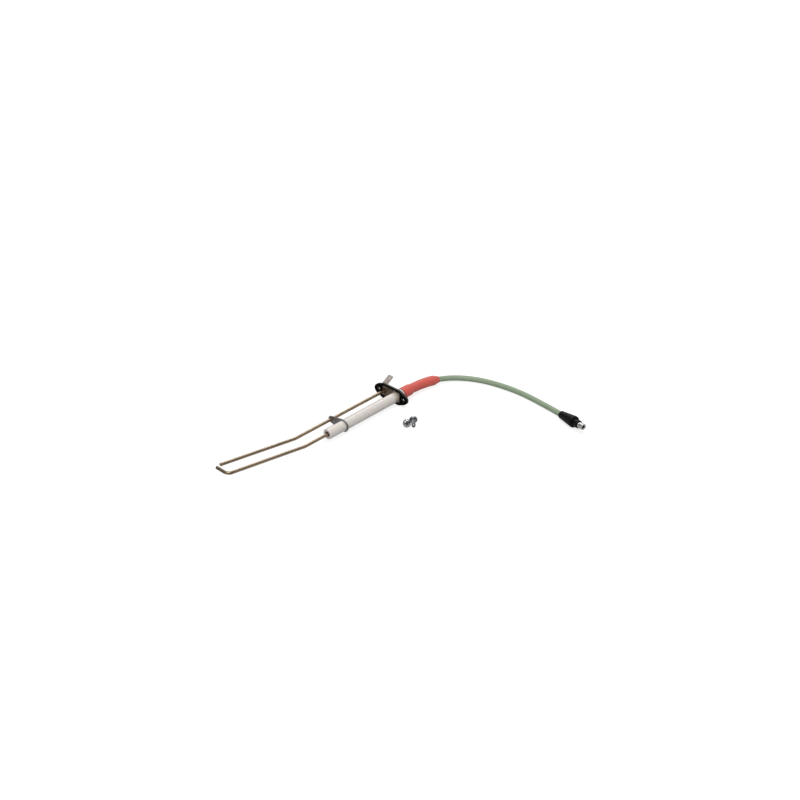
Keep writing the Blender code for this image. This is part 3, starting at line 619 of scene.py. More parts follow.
def makeFloor():
    # white to the camera, with a faint shadow near the part
    bm = bmesh.new()
    bmesh.ops.create_grid(bm, x_segments=1, y_segments=1, size=4.0)
    mesh = bpy.data.meshes.new("floor")
    bm.to_mesh(mesh)
    bm.free()
    floor = linked("floor", mesh)
    floor.location.z = -0.0001
    material, g, at = surface("floor")
    grain = g.use("grain", At=at, Scale=400.0)
    g.settle(
        Base_Color=(0.34, 0.34, 0.34), Roughness=0.95, Specular_IOR_Level=0.1,
        Normal=g.bump(grain["Height"], 0.0002, 0.2),
    )
    seen = g.add("ShaderNodeLightPath").outputs["Is Camera Ray"]
    far = g.add("ShaderNodeVectorMath", {0: at}, operation="LENGTH").outputs["Value"]
    glow = g.times(g.span(far, 0.25, 0.7, 0.8, 1.05), g.span(seen, 0.0, 1.0, 0.2, 1.0, False))
    shade = g.add("ShaderNodeEmission", {"Color": (1.0, 1.0, 1.0), "Strength": glow}).outputs[0]
    both = g.add("ShaderNodeAddShader", {0: g.shader.outputs[0], 1: shade}).outputs[0]
    g.put(g.tree.nodes["Material Output"].inputs["Surface"], both)
    mesh.materials.append(material)


def makeWorld():
    # white behind the part, grey light from the sides, darker still in reflections
    world = bpy.data.worlds.new("studio")
    bpy.context.scene.world = world
    world.use_nodes = True
    g = Graph(world.node_tree)
    backdrop = g.tree.nodes["Background"]
    rays = g.add("ShaderNodeLightPath").outputs
    height = g.apart(g.add("ShaderNodeTexCoord").outputs["Generated"])[2]
    sky = g.mix(g.span(height, 0.0, 0.8), (0.42, 0.43, 0.45), (0.9, 0.9, 0.9))
    mirrored = g.mix(g.span(height, 0.25, 0.75), (0.1, 0.1, 0.11), (1.05, 1.05, 1.05))
    sky = g.mix(rays["Is Glossy Ray"], sky, mirrored)
    g.put(backdrop.inputs["Color"], g.mix(rays["Is Camera Ray"], sky, (1.0, 1.0, 1.0)))
    g.put(backdrop.inputs["Strength"], g.span(rays["Is Camera Ray"], 0.0, 1.0, 0.4, 1.0, False))
    bpy.context.scene.view_settings.view_transform = "Standard"


makeCamera()
makeLamps()
makeFloor()
makeWorld()
print("stage")


def makeLead():
    jacket = rubbery("sageSilicone", {
        "colour": (0.325, 0.425, 0.288), "patch": (0.28, 0.375, 0.247), "patchScale": 90.0,
        "speck": (0.39, 0.47, 0.35), "speckScale": 900.0, "paintedSheen": 0.3, "rim": (0.4, 0.48, 0.37),
        "grainScale": 2600.0, "rough": 0.42, "relief": 0.00004, "specular": 0.45,
    })
    path = lead.between(cable["start"], lead.length, 0.8 * mm)
    bm = bar(path, cable["radius"], 40, 0.15 * mm, uneven(0.02 * mm, 90))
    return newPiece("cableJacket", bm, jacket, "hv_lead", "green_jacket", "lead_cable"), path


def makeBoot():
    salmon = rubbery("salmonSilicone", {
        "colour": (0.785, 0.124, 0.096), "patch": (0.675, 0.084, 0.066), "patchScale": 120.0,
        "speck": (0.76, 0.26, 0.22), "speckScale": 700.0, "paintedSheen": 0.42, "rim": (0.86, 0.36, 0.33),
        "grainScale": 2200.0, "rough": 0.5, "relief": 0.00007, "specular": 0.4,
    })
    # in mm; the neck is the wide end that grips the ceramic
    boot = {"length": 48.0, "neck": 12.9, "neckRadius": 5.55, "radius": 4.8, "sag": 0.9, "sagAt": 27.0}
    end, neck, wide, slim = boot["length"], boot["neck"], boot["neckRadius"], boot["radius"]
    outer = [
        (0.0, 4.7), (0.0, wide - 0.25, 0.3), (1.2, wide - 0.05, 0.6), (neck - 2.4, wide, 0.6),
        (neck - 1.0, wide - 0.4, 0.5), (neck + 0.3, slim - 0.15, 1.0), (end - 18.0, slim, 3.0),
        (end - 6.0, slim + 0.02, 0.4), (end - 3.6, slim - 0.8, 0.6), (end - 0.5, 3.15, 0.4), (end, 3.02),
    ]
    inner = [
        (0.3, 4.12), (neck, 4.12), (neck + 0.3, 3.62), (end - 21.0, 3.62), (end - 19.5, 2.88),
        (end - 0.3, 2.88), (end, 3.0),
    ]
    soft = uneven(0.06 * mm, 130, 0.9)

    def shape(distance, angle):
        # a parting line on both sides and a few faint folds at the bend
        seam = exp(-((sin(angle) / 0.035) ** 2)) * 0.05 * mm
        fold = exp(-(((distance - 18.5 * mm) / (4 * mm)) ** 2)) * 0.02 * mm
        return seam + soft(distance, angle) + fold * sin(distance / mm * 2.6)

    def droop(distance):
        near = exp(-(((distance / mm - boot["sagAt"]) / 9.5) ** 2))
        return Vector((0, 0, -boot["sag"] * mm * near))

    bm = sleeve(lead, outer, inner, shape, droop)
    newPiece("silicone", bm, salmon, "hv_lead", "red_silicone", "insulator_boot")


cableJacket, cablePath = makeLead()
makeBoot()
print("lead and boot")


def brightLook(name, tint, rough):
    return metallic(name, {
        "colour": tint, "patch": tuple(v * 0.82 for v in tint), "patchScale": 420.0, "patchAmount": 0.45,
        "line": (0.92, 0.93, 0.95), "along": (2600.0, 160.0, 160.0), "edge": (0.95, 0.96, 0.98),
        "wear": 0.45, "rough": rough, "relief": 0.000015,
    })


brass = metallic("brass", {
    "colour": (0.72, 0.5, 0.2), "patch": (0.5, 0.34, 0.15), "patchScale": 500.0, "patchAmount": 0.4,
    "line": (0.8, 0.62, 0.32), "along": (4000.0, 120.0, 120.0), "edge": (0.85, 0.68, 0.36),
    "wear": 0.6, "rough": 0.3, "relief": 0.00002,
})
agedBrass = metallic("agedBrass", {
    "colour": (0.2, 0.13, 0.065), "patch": (0.1, 0.065, 0.035), "patchScale": 500.0, "patchAmount": 0.5,
    "line": (0.34, 0.25, 0.14), "along": (4000.0, 120.0, 120.0), "edge": (0.45, 0.34, 0.18),
    "wear": 0.4, "rough": 0.42, "relief": 0.00002,
})
copper = metallic("tinnedCopper", {
    "colour": (0.7, 0.6, 0.52), "patch": (0.62, 0.42, 0.3), "patchScale": 900.0, "patchAmount": 0.4,
    "line": (0.85, 0.78, 0.72), "along": (300.0, 5000.0, 5000.0), "edge": (0.9, 0.86, 0.8),
    "wear": 0.4, "rough": 0.3, "relief": 0.00003,
})
nickel = brightLook("nickel", (0.8, 0.79, 0.775), 0.42)
zinc = brightLook("zinc", (0.58, 0.6, 0.625), 0.24)
# painted shade: near-black zinc for the faces of the cross recess
recessShadeZinc = brightLook("recessShadeZinc", (0.07, 0.075, 0.08), 0.4)
# painted shade under the screw heads, also used on the cut ends
darkenedZinc = brightLook("darkenedZinc", (0.2, 0.21, 0.225), 0.42)


def makePlug():
    black = rubbery("blackRubber", {
        "colour": (0.0075, 0.0075, 0.0085), "patch": (0.011, 0.011, 0.012), "patchScale": 160.0,
        "speck": (0.045, 0.045, 0.045), "speckScale": 800.0, "paintedSheen": 0.06, "rim": (0.025, 0.026, 0.028),
        "grainScale": 3200.0, "rough": 0.4, "relief": 0.00004, "specular": 0.17,
    })
    plastic = rubbery("blackPlastic", {
        "colour": (0.006, 0.006, 0.007), "patch": (0.009, 0.009, 0.01), "patchScale": 220.0,
        "speck": (0.035, 0.035, 0.035), "speckScale": 900.0, "paintedSheen": 0.06, "rim": (0.022, 0.022, 0.025),
        "grainScale": 3600.0, "rough": 0.34, "relief": 0.00003, "specular": 0.2,
    })

    def grip(along, angle):
        # shallow moulded rings on the cone, and its parting line
        ring = 0.0
        if 3 * mm < along < 15 * mm:
            ring = 0.045 * mm * cos((along - 3 * mm) / (2.0 * mm) * tau)
        return ring + exp(-((sin(angle) / 0.05) ** 2)) * 0.035 * mm

    rear, wide, cone, bore, socket = (plug[key] for key in ("rear", "wide", "cone", "bore", "socket"))
    end = cone + plug["nose"]
    rows = [(0.1, bore), (0.0, rear - 0.1, 0.25)]
    rows += [(k, rear + (wide - rear) / cone * k) for k in [0.4 + 0.5 * n for n in range(37)]]
    rows += [(cone + 0.1, wide - 0.02, 0.35), (end - 0.1, wide - 0.4, 0.4), (end, 4.6, 0.2)]
    rows += [(end, socket, 0.15), (end - 8.2, socket), (end - 8.2, bore)]
    coneMesh = lathe(rows, plugFrame, closed=True, wobble=grip)

    face = end + 0.2
    front = face + 6.2
    inside, groove, outside = 3.38, 3.7, 3.9
    rows = [
        (end - 8, 2.5), (end - 8, inside, 0.3), (face, inside), (face, outside - 0.05, 0.3),
        (face + 1.6, outside, 0.2), (face + 1.9, groove, 0.15), (face + 2.5, groove, 0.15),
        (face + 2.8, outside, 0.2), (front - 0.5, outside - 0.05, 0.3), (front, 3.3, 0.2), (front, 2.5, 0.1),
    ]
    collarMesh = lathe(rows, plugFrame, 56, closed=True)

    shoulder = front + 0.2
    tip = shoulder + 5.9
    crimp, stem, groove, outside, bore = 1.15, 2.28, 2.68, 2.9, 1.7
    rows = [
        (16, 0.0), (16, crimp), (11, crimp), (11, stem, 0.3), (shoulder, stem),
        (shoulder, outside - 0.08, 0.2), (shoulder + 0.6, outside, 0.1), (shoulder + 0.9, groove, 0.1),
        (shoulder + 1.4, groove, 0.1), (shoulder + 1.7, outside, 0.1), (tip - 0.25, outside, 0.2),
        (tip, 2.62, 0.12), (tip, 1.95, 0.12), (tip - 0.3, bore, 0.1), (tip - 9, bore), (tip - 9, 0.0),
    ]
    ferruleMesh = lathe(rows, plugFrame, 56)

    # a slit sleeve, waisted so that it springs on the pin
    start, middle, stop = tip - 8.0, tip - 4.5, tip - 1.0
    rows = [(start, 1.34), (start, 1.57), (middle, 1.48, 1), (stop, 1.57), (stop, 1.34), (middle, 1.26, 1)]
    springMesh = lathe(rows, plugFrame, 32, closed=True, sweep=radians(320))
    return [
        newPiece("plugCone", coneMesh, black, "hv_lead", "black_rubber", "plug_boot"),
        newPiece("plugStep", collarMesh, plastic, "hv_lead", "black_plastic", "plug_collar"),
        newPiece("ferrule", ferruleMesh, nickel, "hv_lead", "bright_plate", "plug_contact"),
        newPiece("springSleeve", springMesh, agedBrass, "hv_lead", "contact_brass", "contact_spring"),
    ]


def strands(name, path, node, radius=0.7 * mm, lay=6 * mm):
    # six strands twisted round a seventh
    route = Route(resample(path, 0.5 * mm))
    bm = bmesh.new()
    thin = radius / 3
    for strand in range(7):
        offset = 0.0 if strand == 6 else radius - thin
        twist = [tau * strand / 6 + mark / lay * tau for mark in route.marks]
        line = [rim(route.frame(mark), 0, offset, angle) for mark, angle in zip(route.marks, twist)]
        bar(line, thin * 0.98, 10, 0.05 * mm, bm=bm)
    return newPiece(name, bm, copper, "hv_lead", "conductor", node)


def makeInner():
    pinEnd = -28.4
    neck = pinEnd - 1.2
    crimped = [Vector((x * mm, ceramicY, axisHeight)) for x in (neck - 0.5, neck - 3.4)]
    front = strands("frontStrands", crimped + [lead.at(cable["start"] - 0.3 * mm)], "front_conductor")
    inPlug = [plugFrame @ Vector((along * mm, 0, 0)) for along in (9.2, 15.5)]
    back = strands("rearStrands", inPlug, "rear_conductor")
    rows = [
        (pinEnd, 0.0), (pinEnd, 2.6), (-19.8, 2.6), (-19.8, 3.15, 0.2), (-22, 3.2, 0.3), (-22.6, 3.0, 0.3),
        (-24, 3.0, 0.3), (-24.6, 3.2, 0.3), (pinEnd, 3.2, 0.4), (neck, 1.9, 0.3), (neck - 1.2, 1.85, 0.4),
        (neck - 1.7, 1.7, 0.4), (neck - 2.2, 1.85, 0.4), (neck - 3.4, 1.9, 0.1), (neck - 3.4, 1.15, 0.05),
        (neck, 1.15), (neck, 0.0),
    ]
    newPiece("crimpSocket", lathe(rows, sides=48), brass, "hv_lead", "contact_brass", "pin_socket")
    rows = [
        (-27.2, 0.0), (-27.2, 1.7), (-19.2, 1.7), (-19.2, 2.38, 0.1), (-26.2, 2.38, 0.8), (-27.0, 2.1, 0.6),
        (-27.8, 1.2, 0.2), (-27.8, 0.0),
    ]
    newPiece("pinCap", lathe(rows, sides=48), brass, "electrode", "contact_brass", "pin_sleeve")
    return [front, back]


plugPieces = makePlug()
strandPieces = makeInner()
print("plug and contacts")


# in mm; the cups at both ends hold the cement
ceramic = {
    "front": 92.4, "radius": 5.0, "shoulder": -5.8, "neck": 3.9, "rear": -19.0, "bore": 1.7, "cup": 2.6,
}


def ceramicLook():
    material, g, at = surface("glazedCeramic")
    x, y, z = g.apart(at)[0:3]
    patches = g.patches(at, 70.0, 0.5)
    grain = g.use("grain", At=at, Scale=1400.0)
    specks = g.use("specks", At=at, Scale=420.0, Size=0.1)["Mask"]
    tone = g.tint((0.845, 0.795, 0.745), patches, 0.22, (0.785, 0.73, 0.675))
    tone = g.tint(tone, specks, 0.35, (0.4, 0.33, 0.26))
    tone = g.mix(g.span(x, 0.0, -0.0008), tone, (0.9, 0.875, 0.845))  # painted light: paler behind the plate, to brighten the shade there
    # browner over the ceramic from the plate's front to about 10 mm ahead, with a ragged edge
    ragged = g.plus(x, g.times(g.minus(g.noise(at, 900.0, 4.0), 0.5), 0.004))
    nearPlateBrown = g.times(g.span(ragged, 0.0098, 0.0028), g.span(x, -0.0005, 0.0005))
    tone = g.tint(tone, nearPlateBrown, 0.78, (0.43, 0.335, 0.25))
    mouth = g.span(g.away(y, z, ceramicY, axisHeight), 0.0031, 0.0024)
    tone = g.tint(tone, mouth, 0.85, (0.2, 0.12, 0.07))
    clipBand = g.span(g.calc("ABSOLUTE", g.minus(x, 0.0718)), 0.0017, 0.0009)  # greyer in a band about the clip
    g.settle(
        Base_Color=g.tint(tone, clipBand, 0.45, (0.36, 0.33, 0.3)),
        Roughness=g.span(grain["Mask"], 0.0, 1.0, 0.24, 0.36),
        Normal=g.bump(grain["Height"], 0.00005, 0.35), Coat_Weight=0.35, Coat_Roughness=0.12,
        Subsurface_Weight=0.08, Subsurface_Scale=0.001, Specular_IOR_Level=0.5,
    )
    return material


def makeCeramic():
    front, radius, shoulder, neck, rear, bore, cup = ceramic.values()
    rows = [
        (front, 3.05, 0.25), (front, radius, 0.55), (shoulder, radius, 0.5), (shoulder, neck, 0.2),
        (rear, neck, 0.4), (rear, cup, 0.1), (rear + 6.7, cup), (rear + 6.7, bore),
        (front - 9.7, bore), (front - 9.7, cup), (front - 0.6, cup, 0.2),
    ]
    dense = []
    for a, b in zip(rows, rows[1:] + rows[:1]):
        dense.append(a)
        reach = abs(a[0] - b[0])
        if reach > 20:  # enough rings for the wobble
            dense += divided([a[:2], b[:2]], reach / round(reach / 4))[1:-1]
    bm = lathe(dense, sides=80, closed=True, wobble=uneven(0.018 * mm, 60))
    newPiece("ceramic", bm, ceramicLook(), "electrode", "glazed_body", "ceramic_insulator")


def cementLook(name, dark, light):
    material, g, at = surface(name)
    patches = g.patches(at, 900.0, 0.6)
    grain = g.use("grain", At=at, Scale=3000.0)
    g.settle(
        Base_Color=g.mix(patches, dark, light), Roughness=0.88,
        Normal=g.bump(grain["Height"], 0.00025, 0.9), Specular_IOR_Level=0.2,
    )
    return material


def makeCement():
    brown = cementLook("brownCement", (0.075, 0.043, 0.025), (0.16, 0.1, 0.06))
    pale = cementLook("paleCement", (0.5, 0.46, 0.41), (0.66, 0.62, 0.57))
    rough = uneven(0.04 * mm, 900, 3)
    for name, start, node in (
        ("mouthCement", 82.9, "front_cement_plug"), ("rearCement", ceramic["rear"], "rear_cement_plug"),
    ):
        rows = [(start, 1.72), (start, 2.38, 0.1), (start + 6.5, 2.38, 0.1), (start + 6.1, 1.72)]
        bm = lathe(rows, sides=40, closed=True, wobble=rough)
        newPiece(name, bm, brown, "electrode", "brown_cement", node)
    rows = [(-1.5, 5.25), (-1.5, 5.75, 0.1), (0.9, 5.75, 0.1), (0.9, 5.25)]
    bm = lathe(rows, closed=True, wobble=rough)
    newPiece("bondRing", bm, pale, "electrode", "grey_cement", "ceramic_bond_ring")


makeCeramic()
makeCement()
print("ceramic")


rods = {
    "radius": 1.5 * mm, "rise": radians(9.3), "bendAt": 118.6 * mm, "bendRadius": 28 * mm,
    "hookRadius": 4.8 * mm, "oval": 0.03 * mm,
}


def rodLook():
    material, g, at = surface("rodWire")
    x, y, z = g.apart(at)[0:3]
    past = g.calc("MAXIMUM", g.minus(x, rods["bendAt"]), 0.0)
    level = g.minus(z, g.times(past, tan(rods["rise"])))
    run = g.add("ShaderNodeCombineXYZ", {0: x, 1: y, 2: level}).outputs[0]  # follows the upward bend
    lines = g.use("drawLines", At=run, Along=(25.0, 3000.0, 3000.0))
    grain = g.use("grain", At=at, Scale=2600.0)
    olive = g.patches(at, 60.0, 0.55)
    dark = g.patches(g.stretch(run, (0.35, 1.0, 1.0)), 170.0, 0.35)
    heat = g.calc("MAXIMUM", g.span(x, 0.007, 0.002), g.span(x, 0.199, 0.2065))
    tone = g.mix(olive, (0.52, 0.395, 0.27), (0.43, 0.34, 0.23))
    tone = g.tint(tone, dark, 0.6, (0.24, 0.18, 0.12))
    tone = g.tint(tone, lines["Mask"], 0.3, (0.62, 0.5, 0.37))
    tone = g.tint(tone, heat, 0.55, (0.17, 0.12, 0.08))
    tone = g.tint(tone, g.use("edges", Radius=0.0002)["Mask"], 0.5, (0.28, 0.22, 0.16))
    g.settle(
        Base_Color=tone, Metallic=0.92, Roughness=g.span(g.plus(grain["Mask"], dark), 0.0, 2.0, 0.21, 0.36),
        Normal=g.bump(g.blend(lines["Height"], grain["Height"], 0.6), 0.00002, 0.35),
    )
    return material


def makeRods():
    wire = rodLook()
    rise = Vector((cos(rods["rise"]), 0, sin(rods["rise"])))
    swell = uneven(0.008 * mm, 200)

    def rod(name, corners, radii, blunt, bentAt, node):
        def shape(distance, angle):
            # the bender leaves the wire a touch oval at its bend
            near = exp(-(((distance - bentAt) / (3.2 * mm)) ** 2))
            return swell(distance, angle) - rods["oval"] * near * cos(2 * angle)

        path = resample(rounded(corners, radii), 0.75 * mm)
        bm = bar(path, rods["radius"], 36, blunt, shape)
        newPiece(name, bm, wire, "electrode", "rod_wire", node)

    bend = Vector((119.9 * mm, ceramicY, axisHeight))
    corner = bend + rise * 89.5 * mm
    corners = [Vector((-27 * mm, ceramicY, axisHeight)), bend, corner, corner - Vector((0, 14.5 * mm, 0))]
    radii = [rods["bendRadius"], rods["hookRadius"]]
    rod("ignitionWire", corners, radii, 0.3 * mm, 146.9 * mm, "ignition_rod")
    bend = Vector((117.4 * mm, earthY, axisHeight))
    corners = [Vector((-0.9 * mm, earthY, axisHeight)), bend, bend + rise * 87 * mm]
    rod("earthWire", corners, radii[:1], 0.35 * mm, 118.3 * mm, "earth_rod")


makeRods()
print("rods")


flange = {
    "half": 7.7 * mm, "edge": 9.5 * mm, "corner": 4.0 * mm, "lobe": 5.0 * mm, "holes": 31.6 * mm,
    "thick": 1.8 * mm, "screwHole": 2.2 * mm, "gasketRim": 1.4 * mm, "gasketReach": 12.15 * mm,
}
tab = {
    "thick": 0.8 * mm, "wide": 6.3 * mm, "y": -10.6 * mm, "leg": -1.5 * mm, "foot": 1.3 * mm,
    "corner": 13.6 * mm, "length": 10.3 * mm, "rise": radians(32), "bendRadius": 1.4 * mm,
    "point": 0.9 * mm, "ease": 0.12 * mm, "rivetZ": 4.1 * mm, "rivetHole": 1.1, "lockHole": 0.7,
}


def flangeBand(inset=0.0):
    rows = [(side * flange["holes"] / 2, axisHeight, flange["lobe"] - inset) for side in (-1, 1)]
    level = flange["half"] - flange["corner"]
    for side in (-1, 1):
        for z in (axisHeight - level, axisHeight + level):
            rows.append((side * flange["edge"], z, flange["corner"] - inset))
    return band(rows)


def plateLook():
    material, g, at = surface("plateSteel")
    y, z = g.apart(at)[1:3]
    lines = g.use("drawLines", At=at, Along=(900.0, 90.0, 2600.0))
    grain = g.use("grain", At=at, Scale=2200.0)
    patches = g.patches(at, 210.0, 0.5)
    ragged = g.times(g.minus(g.noise(at, 500.0, 4.0), 0.5), 0.0035)
    weld = g.plus(g.away(y, z, earthY, axisHeight), ragged)
    root = g.plus(g.away(y, z, ceramicY, axisHeight), ragged)
    flat = g.calc("ABSOLUTE", g.apart(g.add("ShaderNodeNewGeometry").outputs["Normal"])[0])
    tone = g.mix(patches, (0.225, 0.18, 0.152), (0.29, 0.24, 0.205))
    tone = g.tint(tone, lines["Mask"], 0.3, (0.22, 0.18, 0.15))
    tone = g.tint(tone, g.span(weld, 0.0052, 0.0038), 0.45, (0.3, 0.19, 0.09))
    tone = g.tint(tone, g.span(weld, 0.0034, 0.0024), 0.75, (0.06, 0.035, 0.022))
    tone = g.tint(tone, g.span(root, 0.0075, 0.0058), 0.5, (0.2, 0.15, 0.11))
    tone = g.mix(g.span(flat, 0.8, 0.3), tone, (0.075, 0.078, 0.07))  # the cut edge is darker
    tone = g.tint(tone, g.use("edges", Radius=0.0002)["Mask"], 0.4, (0.3, 0.28, 0.25))
    g.settle(
        Base_Color=tone, Metallic=0.85,
        Roughness=g.span(g.plus(grain["Mask"], patches), 0.0, 2.0, 0.36, 0.55),
        Normal=g.bump(g.blend(lines["Height"], grain["Height"], 0.4), 0.00005, 0.5),
    )
    return material


def makePlate():
    half = flange["thick"] / 2
    holes = [ringOf(side * flange["holes"] / 2, axisHeight, flange["screwHole"]) for side in (-1, 1)]
    holes.append(ringOf(ceramicY, axisHeight, 6.0 * mm, 80))
    holes.append(ringOf(earthY, axisHeight, 1.6 * mm, 32))
    holes.append(ringOf(tab["y"], tab["rivetZ"], tab["rivetHole"] * mm, 24))
    bm = sheetMetal([flangeBand()] + holes, -half, half, 0.14 * mm, 0.28 * mm)
    newPiece("plate", bm, plateLook(), "electrode", "plate_steel", "flange_plate", flat=True)


def makeGasket():
    material = rubbery("gasketBlack", {
        "colour": (0.0025, 0.0024, 0.0023), "patch": (0.0045, 0.0042, 0.004), "patchScale": 300.0,
        "speck": (0.022, 0.021, 0.02), "speckScale": 1100.0, "paintedSheen": 0.03, "rim": (0.012, 0.012, 0.012),
        "grainScale": 2400.0, "rough": 0.62, "relief": 0.0001, "specular": 0.04,
    })
    # the window is the outline drawn in and cut off short of the lobes
    reach = flange["gasketReach"]
    window = loopAt(flangeBand(flange["gasketRim"]), 0.0)
    clipped = []
    for (y0, z0), (y1, z1) in zip(window, window[1:] + window[:1]):
        if abs(y0) <= reach:
            clipped.append((y0, z0))
        for limit in sorted((-reach, reach), key=lambda value: abs(value - y0)):
            if (y0 - limit) * (y1 - limit) < 0:
                clipped.append((limit, z0 + (z1 - z0) * (limit - y0) / (y1 - y0)))
    outlines = [flangeBand(), [(y, z, -1e-9, atan2(z - axisHeight, y)) for y, z in clipped]]
    outlines += [ringOf(side * flange["holes"] / 2, axisHeight, 2.3 * mm) for side in (-1, 1)]
    bm = sheetMetal(outlines, 1.1 * mm, 2.4 * mm, 0.08 * mm)
    newPiece("gasket", bm, material, "electrode", "gasket_black", "flange_gasket", flat=True)


def steelLook(name, tint, dark, relief=0.00004, rough=0.38):
    return metallic(name, {
        "colour": tint, "patch": dark, "patchScale": 260.0, "patchAmount": 0.5,
        "line": tuple(min(1, v * 1.4) for v in tint), "along": (500.0, 120.0, 2400.0),
        "edge": tuple(min(1, v * 1.6) for v in tint), "wear": 0.6, "rough": rough, "relief": relief,
    })


clip = {"back": 71.2 * mm, "front": 72.4 * mm, "radius": 6.2 * mm, "rodRadius": 3.4 * mm}


def makeClip():
    steel = steelLook("clipSteel", (0.3, 0.3, 0.295), (0.22, 0.21, 0.2))
    outline = band([(ceramicY, axisHeight, clip["radius"]), (earthY, axisHeight, clip["rodRadius"])])
    holes = [ringOf(ceramicY, axisHeight, 5.2 * mm, 72), ringOf(earthY, axisHeight, 1.6 * mm, 32)]
    bm = sheetMetal([outline] + holes, clip["back"], clip["front"], 0.15 * mm)
    newPiece("clip", bm, steel, "electrode", "clip_steel", "rod_support_clip", flat=True)


def makeWelds():
    weld = metallic("weldBead", {
        "colour": (0.15, 0.1, 0.065), "patch": (0.06, 0.037, 0.024), "patchScale": 900.0, "patchAmount": 0.55,
        "line": (0.4, 0.33, 0.27), "along": (900.0, 900.0, 900.0), "edge": (0.4, 0.34, 0.28),
        "wear": 0.5, "rough": 0.42, "metal": 0.9, "relief": 0.0001,
    })
    # place along the rod, side, radius and height in mm, and a seed
    for name, x, ahead, radius, height, seed in (
        ("earthWeld", 0.9, 1, 2.3, 0.9, 3.0),
        ("earthWeldBack", -0.85, -1, 1.9, 0.24, 8.0),
        ("clipWeld", 72.35, 1, 2.0, 0.6, 5.0),
    ):
        place = frameAt(Vector((x * mm, earthY, axisHeight)), Vector((ahead, 0, 0)))
        newPiece(name, bead(place, radius, height, 0.35, seed), weld, "electrode", "rod_wire")


def makeTab():
    tin = steelLook("tinnedTab", (0.76, 0.675, 0.625), (0.62, 0.54, 0.495), 0.00003, 0.42)
    half, ease, point = tab["thick"] / 2, tab["ease"], tab["point"]
    away = Vector((-cos(tab["rise"]), 0, sin(tab["rise"])))
    foot = Vector((tab["leg"], tab["y"], tab["foot"]))
    corner = Vector((tab["leg"], tab["y"], tab["corner"]))
    end = corner + away * tab["length"]
    route = Route(resample(rounded([foot, corner, end], [tab["bendRadius"]], 10), 0.3 * mm))
    long = route.length
    section = ((-1, 0.55), (-0.97, 1), (0.97, 1), (1, 0.55), (1, -0.55), (0.97, -1), (-0.97, -1), (-1, -0.55))
    stations = [0.0, ease * 0.4, ease]
    stations += [mark for mark in route.marks if 2 * ease < mark < long - point - 0.05 * mm]
    stations += [long - point, long - point * 0.5, long - ease, long - ease * 0.35, long]
    bm = bmesh.new()
    rings = []
    for mark in stations:
        left = long - mark
        ahead = route.heading(mark, 0.2 * mm)
        normal = Vector((-ahead.z, 0, ahead.x))
        width = tab["wide"] / 2 - max(0.0, point - left) * 0.95
        near = min(mark, left, ease)
        thin = half - ease * (1 - near / ease) ** 2
        spots = [route.at(mark) + Vector((0, a * width, 0)) + normal * b * thin for a, b in section]
        rings.append([bm.verts.new(spot) for spot in spots])
    stitch(bm, rings, capped=True)
    blade = newPiece("tab", bm, tin, "electrode", "tab_steel", "earth_tab")
    # the rivet's hole and the locking hole
    rivetAt = Vector((tab["leg"], tab["y"], tab["rivetZ"]))
    across = Vector((sin(tab["rise"]), 0, cos(tab["rise"])))
    cutters = []
    for name, place, radius in (
        ("rivetHole", frameAt(rivetAt, Vector((1, 0, 0))), tab["rivetHole"]),
        ("lockHole", frameAt(end - away * 3.2 * mm, across, Vector((0, 1, 0))), tab["lockHole"]),
    ):
        rows = [(-2, 0.0), (-2, radius), (2, radius), (2, 0.0)]
        cutters.append(newPiece(name, lathe(rows, place, 32), tin, "electrode", "tab_steel"))
    carved(blade, cutters, 50)


def makeRivet():
    steel = steelLook("rivetSteel", (0.5, 0.45, 0.42), (0.36, 0.31, 0.28))
    rows = [
        (1.8, 0.0), (1.78, 0.5), (1.5, 1.05, 0.2), (1.12, 1.24, 0.1), (1.1, 0.9), (-2.1, 0.9),
        (-2.12, 1.24, 0.1), (-2.5, 1.05, 0.2), (-2.78, 0.5), (-2.8, 0.0),
    ]
    place = Matrix.Translation(Vector((0, tab["y"], tab["rivetZ"])))
    newPiece("rivet", lathe(rows, place, 32), steel, "electrode", "tab_steel", "tab_rivet")


makePlate()
makeGasket()
makeClip()
makeWelds()
makeTab()
makeRivet()
print("flange and fittings")


# in mm
screw = {
    "headRadius": 3.9, "head": 2.6, "radius": 1.95, "core": 1.62, "length": 8.0, "pitch": 0.7,
    "slotLength": 1.95, "slotHalf": 0.5, "slotDepth": 1.55,
}


def addThread(bm, place, first, turns, sides=48):
    # one helical strip of quads, so that it turns about the shank
    pitch, core = screw["pitch"], screw["core"]
    columns = [(0.0, core), (0.12, core), (0.5, screw["radius"]), (0.62, screw["radius"])]
    strip = []
    for step in range(int(turns * sides) + 1):
        base = first + pitch * (step / sides - 1)
        fade = min(1.0, step / sides, (turns * sides - step) / sides)
        row = []
        for share, radius in columns:
            reach = core + (radius - core) * fade
            row.append(bm.verts.new(rim(place, (base + share * pitch) * mm, reach * mm, tau * step / sides)))
        strip.append(row)
    for k in range(len(strip) - 1):
        here, on = strip[k], strip[k + 1]
        for c in range(3):
            bm.faces.new((here[c], here[c + 1], on[c + 1], on[c]))
        if k + 1 + sides < len(strip):
            bm.faces.new((here[3], strip[k + sides][0], strip[k + sides + 1][0], on[3]))


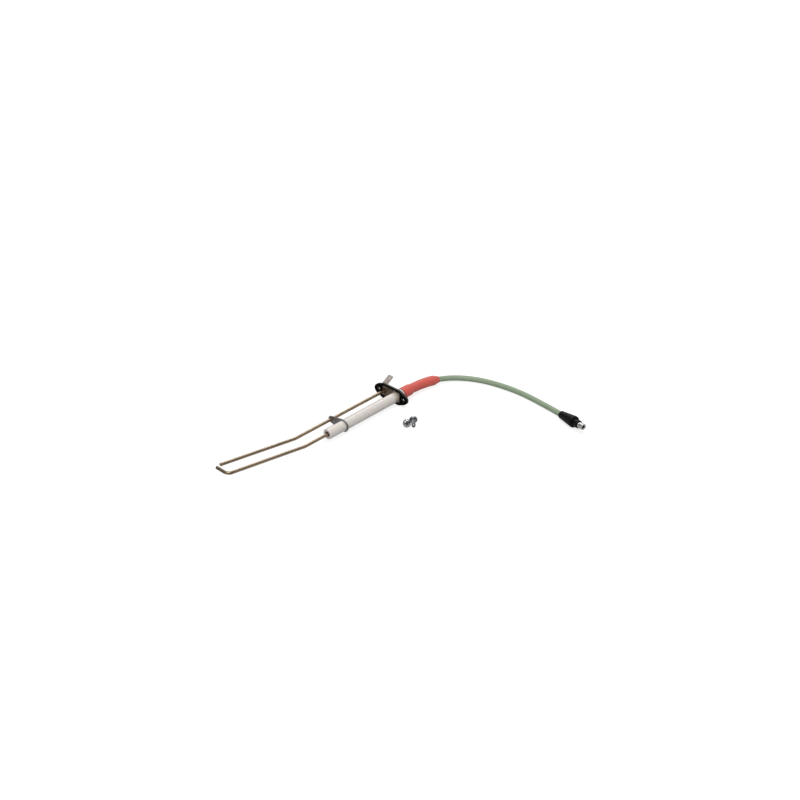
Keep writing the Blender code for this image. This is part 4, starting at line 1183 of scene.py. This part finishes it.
def crossCutter(place):
    # a tapered cross
    half = screw["slotHalf"]
    corners = ((half, half), (screw["slotLength"], half * 0.9), (screw["slotLength"], -half * 0.9))
    bm = bmesh.new()
    loops = []
    for along, scale in ((-0.6, 1.05), (0.1, 1.0), (screw["slotDepth"], 0.62)):
        loop = []
        for quarter in range(4):
            a = quarter * tau / 4
            for u, v in corners:
                u, v = u * scale, v * (0.6 + 0.4 * scale)
                spot = Vector((along, u * cos(a) + v * sin(a), v * cos(a) - u * sin(a)))
                loop.append(bm.verts.new(place @ (spot * mm)))
        loops.append(loop)
    stitch(bm, loops, capped=True)
    return bm


def makeScrew(name, spot, heading):
    # it lies on its head's rim and its last thread
    head, tall, shank = screw["headRadius"], screw["head"], screw["radius"]
    tip = tall + screw["length"]
    dip = atan2(head - shank, tip - 0.5 - tall)
    ahead = Vector((cos(heading) * cos(dip), sin(heading) * cos(dip), -sin(dip)))
    place = frameAt(Vector((*spot, head * cos(dip) + tall * sin(dip))) * mm, ahead)
    bm = bmesh.new()
    rows = [
        (0.0, 0.0), (0.02, 1.6), (0.1, 2.5), (0.35, 3.25), (0.8, 3.7), (1.4, 3.88), (tall - 0.2, head, 0.1),
        (tall, 3.75, 0.1), (tall, 1.9, 0.1), (tall + 0.5, 1.6),
    ]
    lathe(rows, place, bm=bm)
    first = tall + 0.5
    addThread(bm, place, first, (screw["length"] - 0.9) / screw["pitch"])
    rows = [(first - screw["pitch"], 1.6), (tip - 0.9, 1.6), (tip - 0.3, 1.55), (tip, 1.3, 0.1), (tip, 0.0)]
    lathe(rows, place, 48, bm=bm)
    body = newPiece(name + "Body", bm, zinc, name, "bright_zinc", name)
    # the recess faces take the near-black zinc of painted shade
    cutter = newPiece(name + "Recess", crossCutter(place), recessShadeZinc, name, "bright_zinc")
    finished = carved(body, [cutter], 35)
    # painted shade: the zinc is darker under the head; the cut end is darker too
    finished.materials.append(darkenedZinc)
    axial = place.inverted()
    for face in finished.polygons:
        at = (axial @ face.center) / mm
        underHead = abs(at.x - tall) < 0.12 and hypot(at.y, at.z) > shank
        if underHead or at.x > tip - 0.25:
            face.material_index = len(finished.materials) - 1


makeScrew("screw_1", (26.0, 43.6), radians(223.5))
makeScrew("screw_2", (14.7, 41.1), radians(45.5))
print("screws")
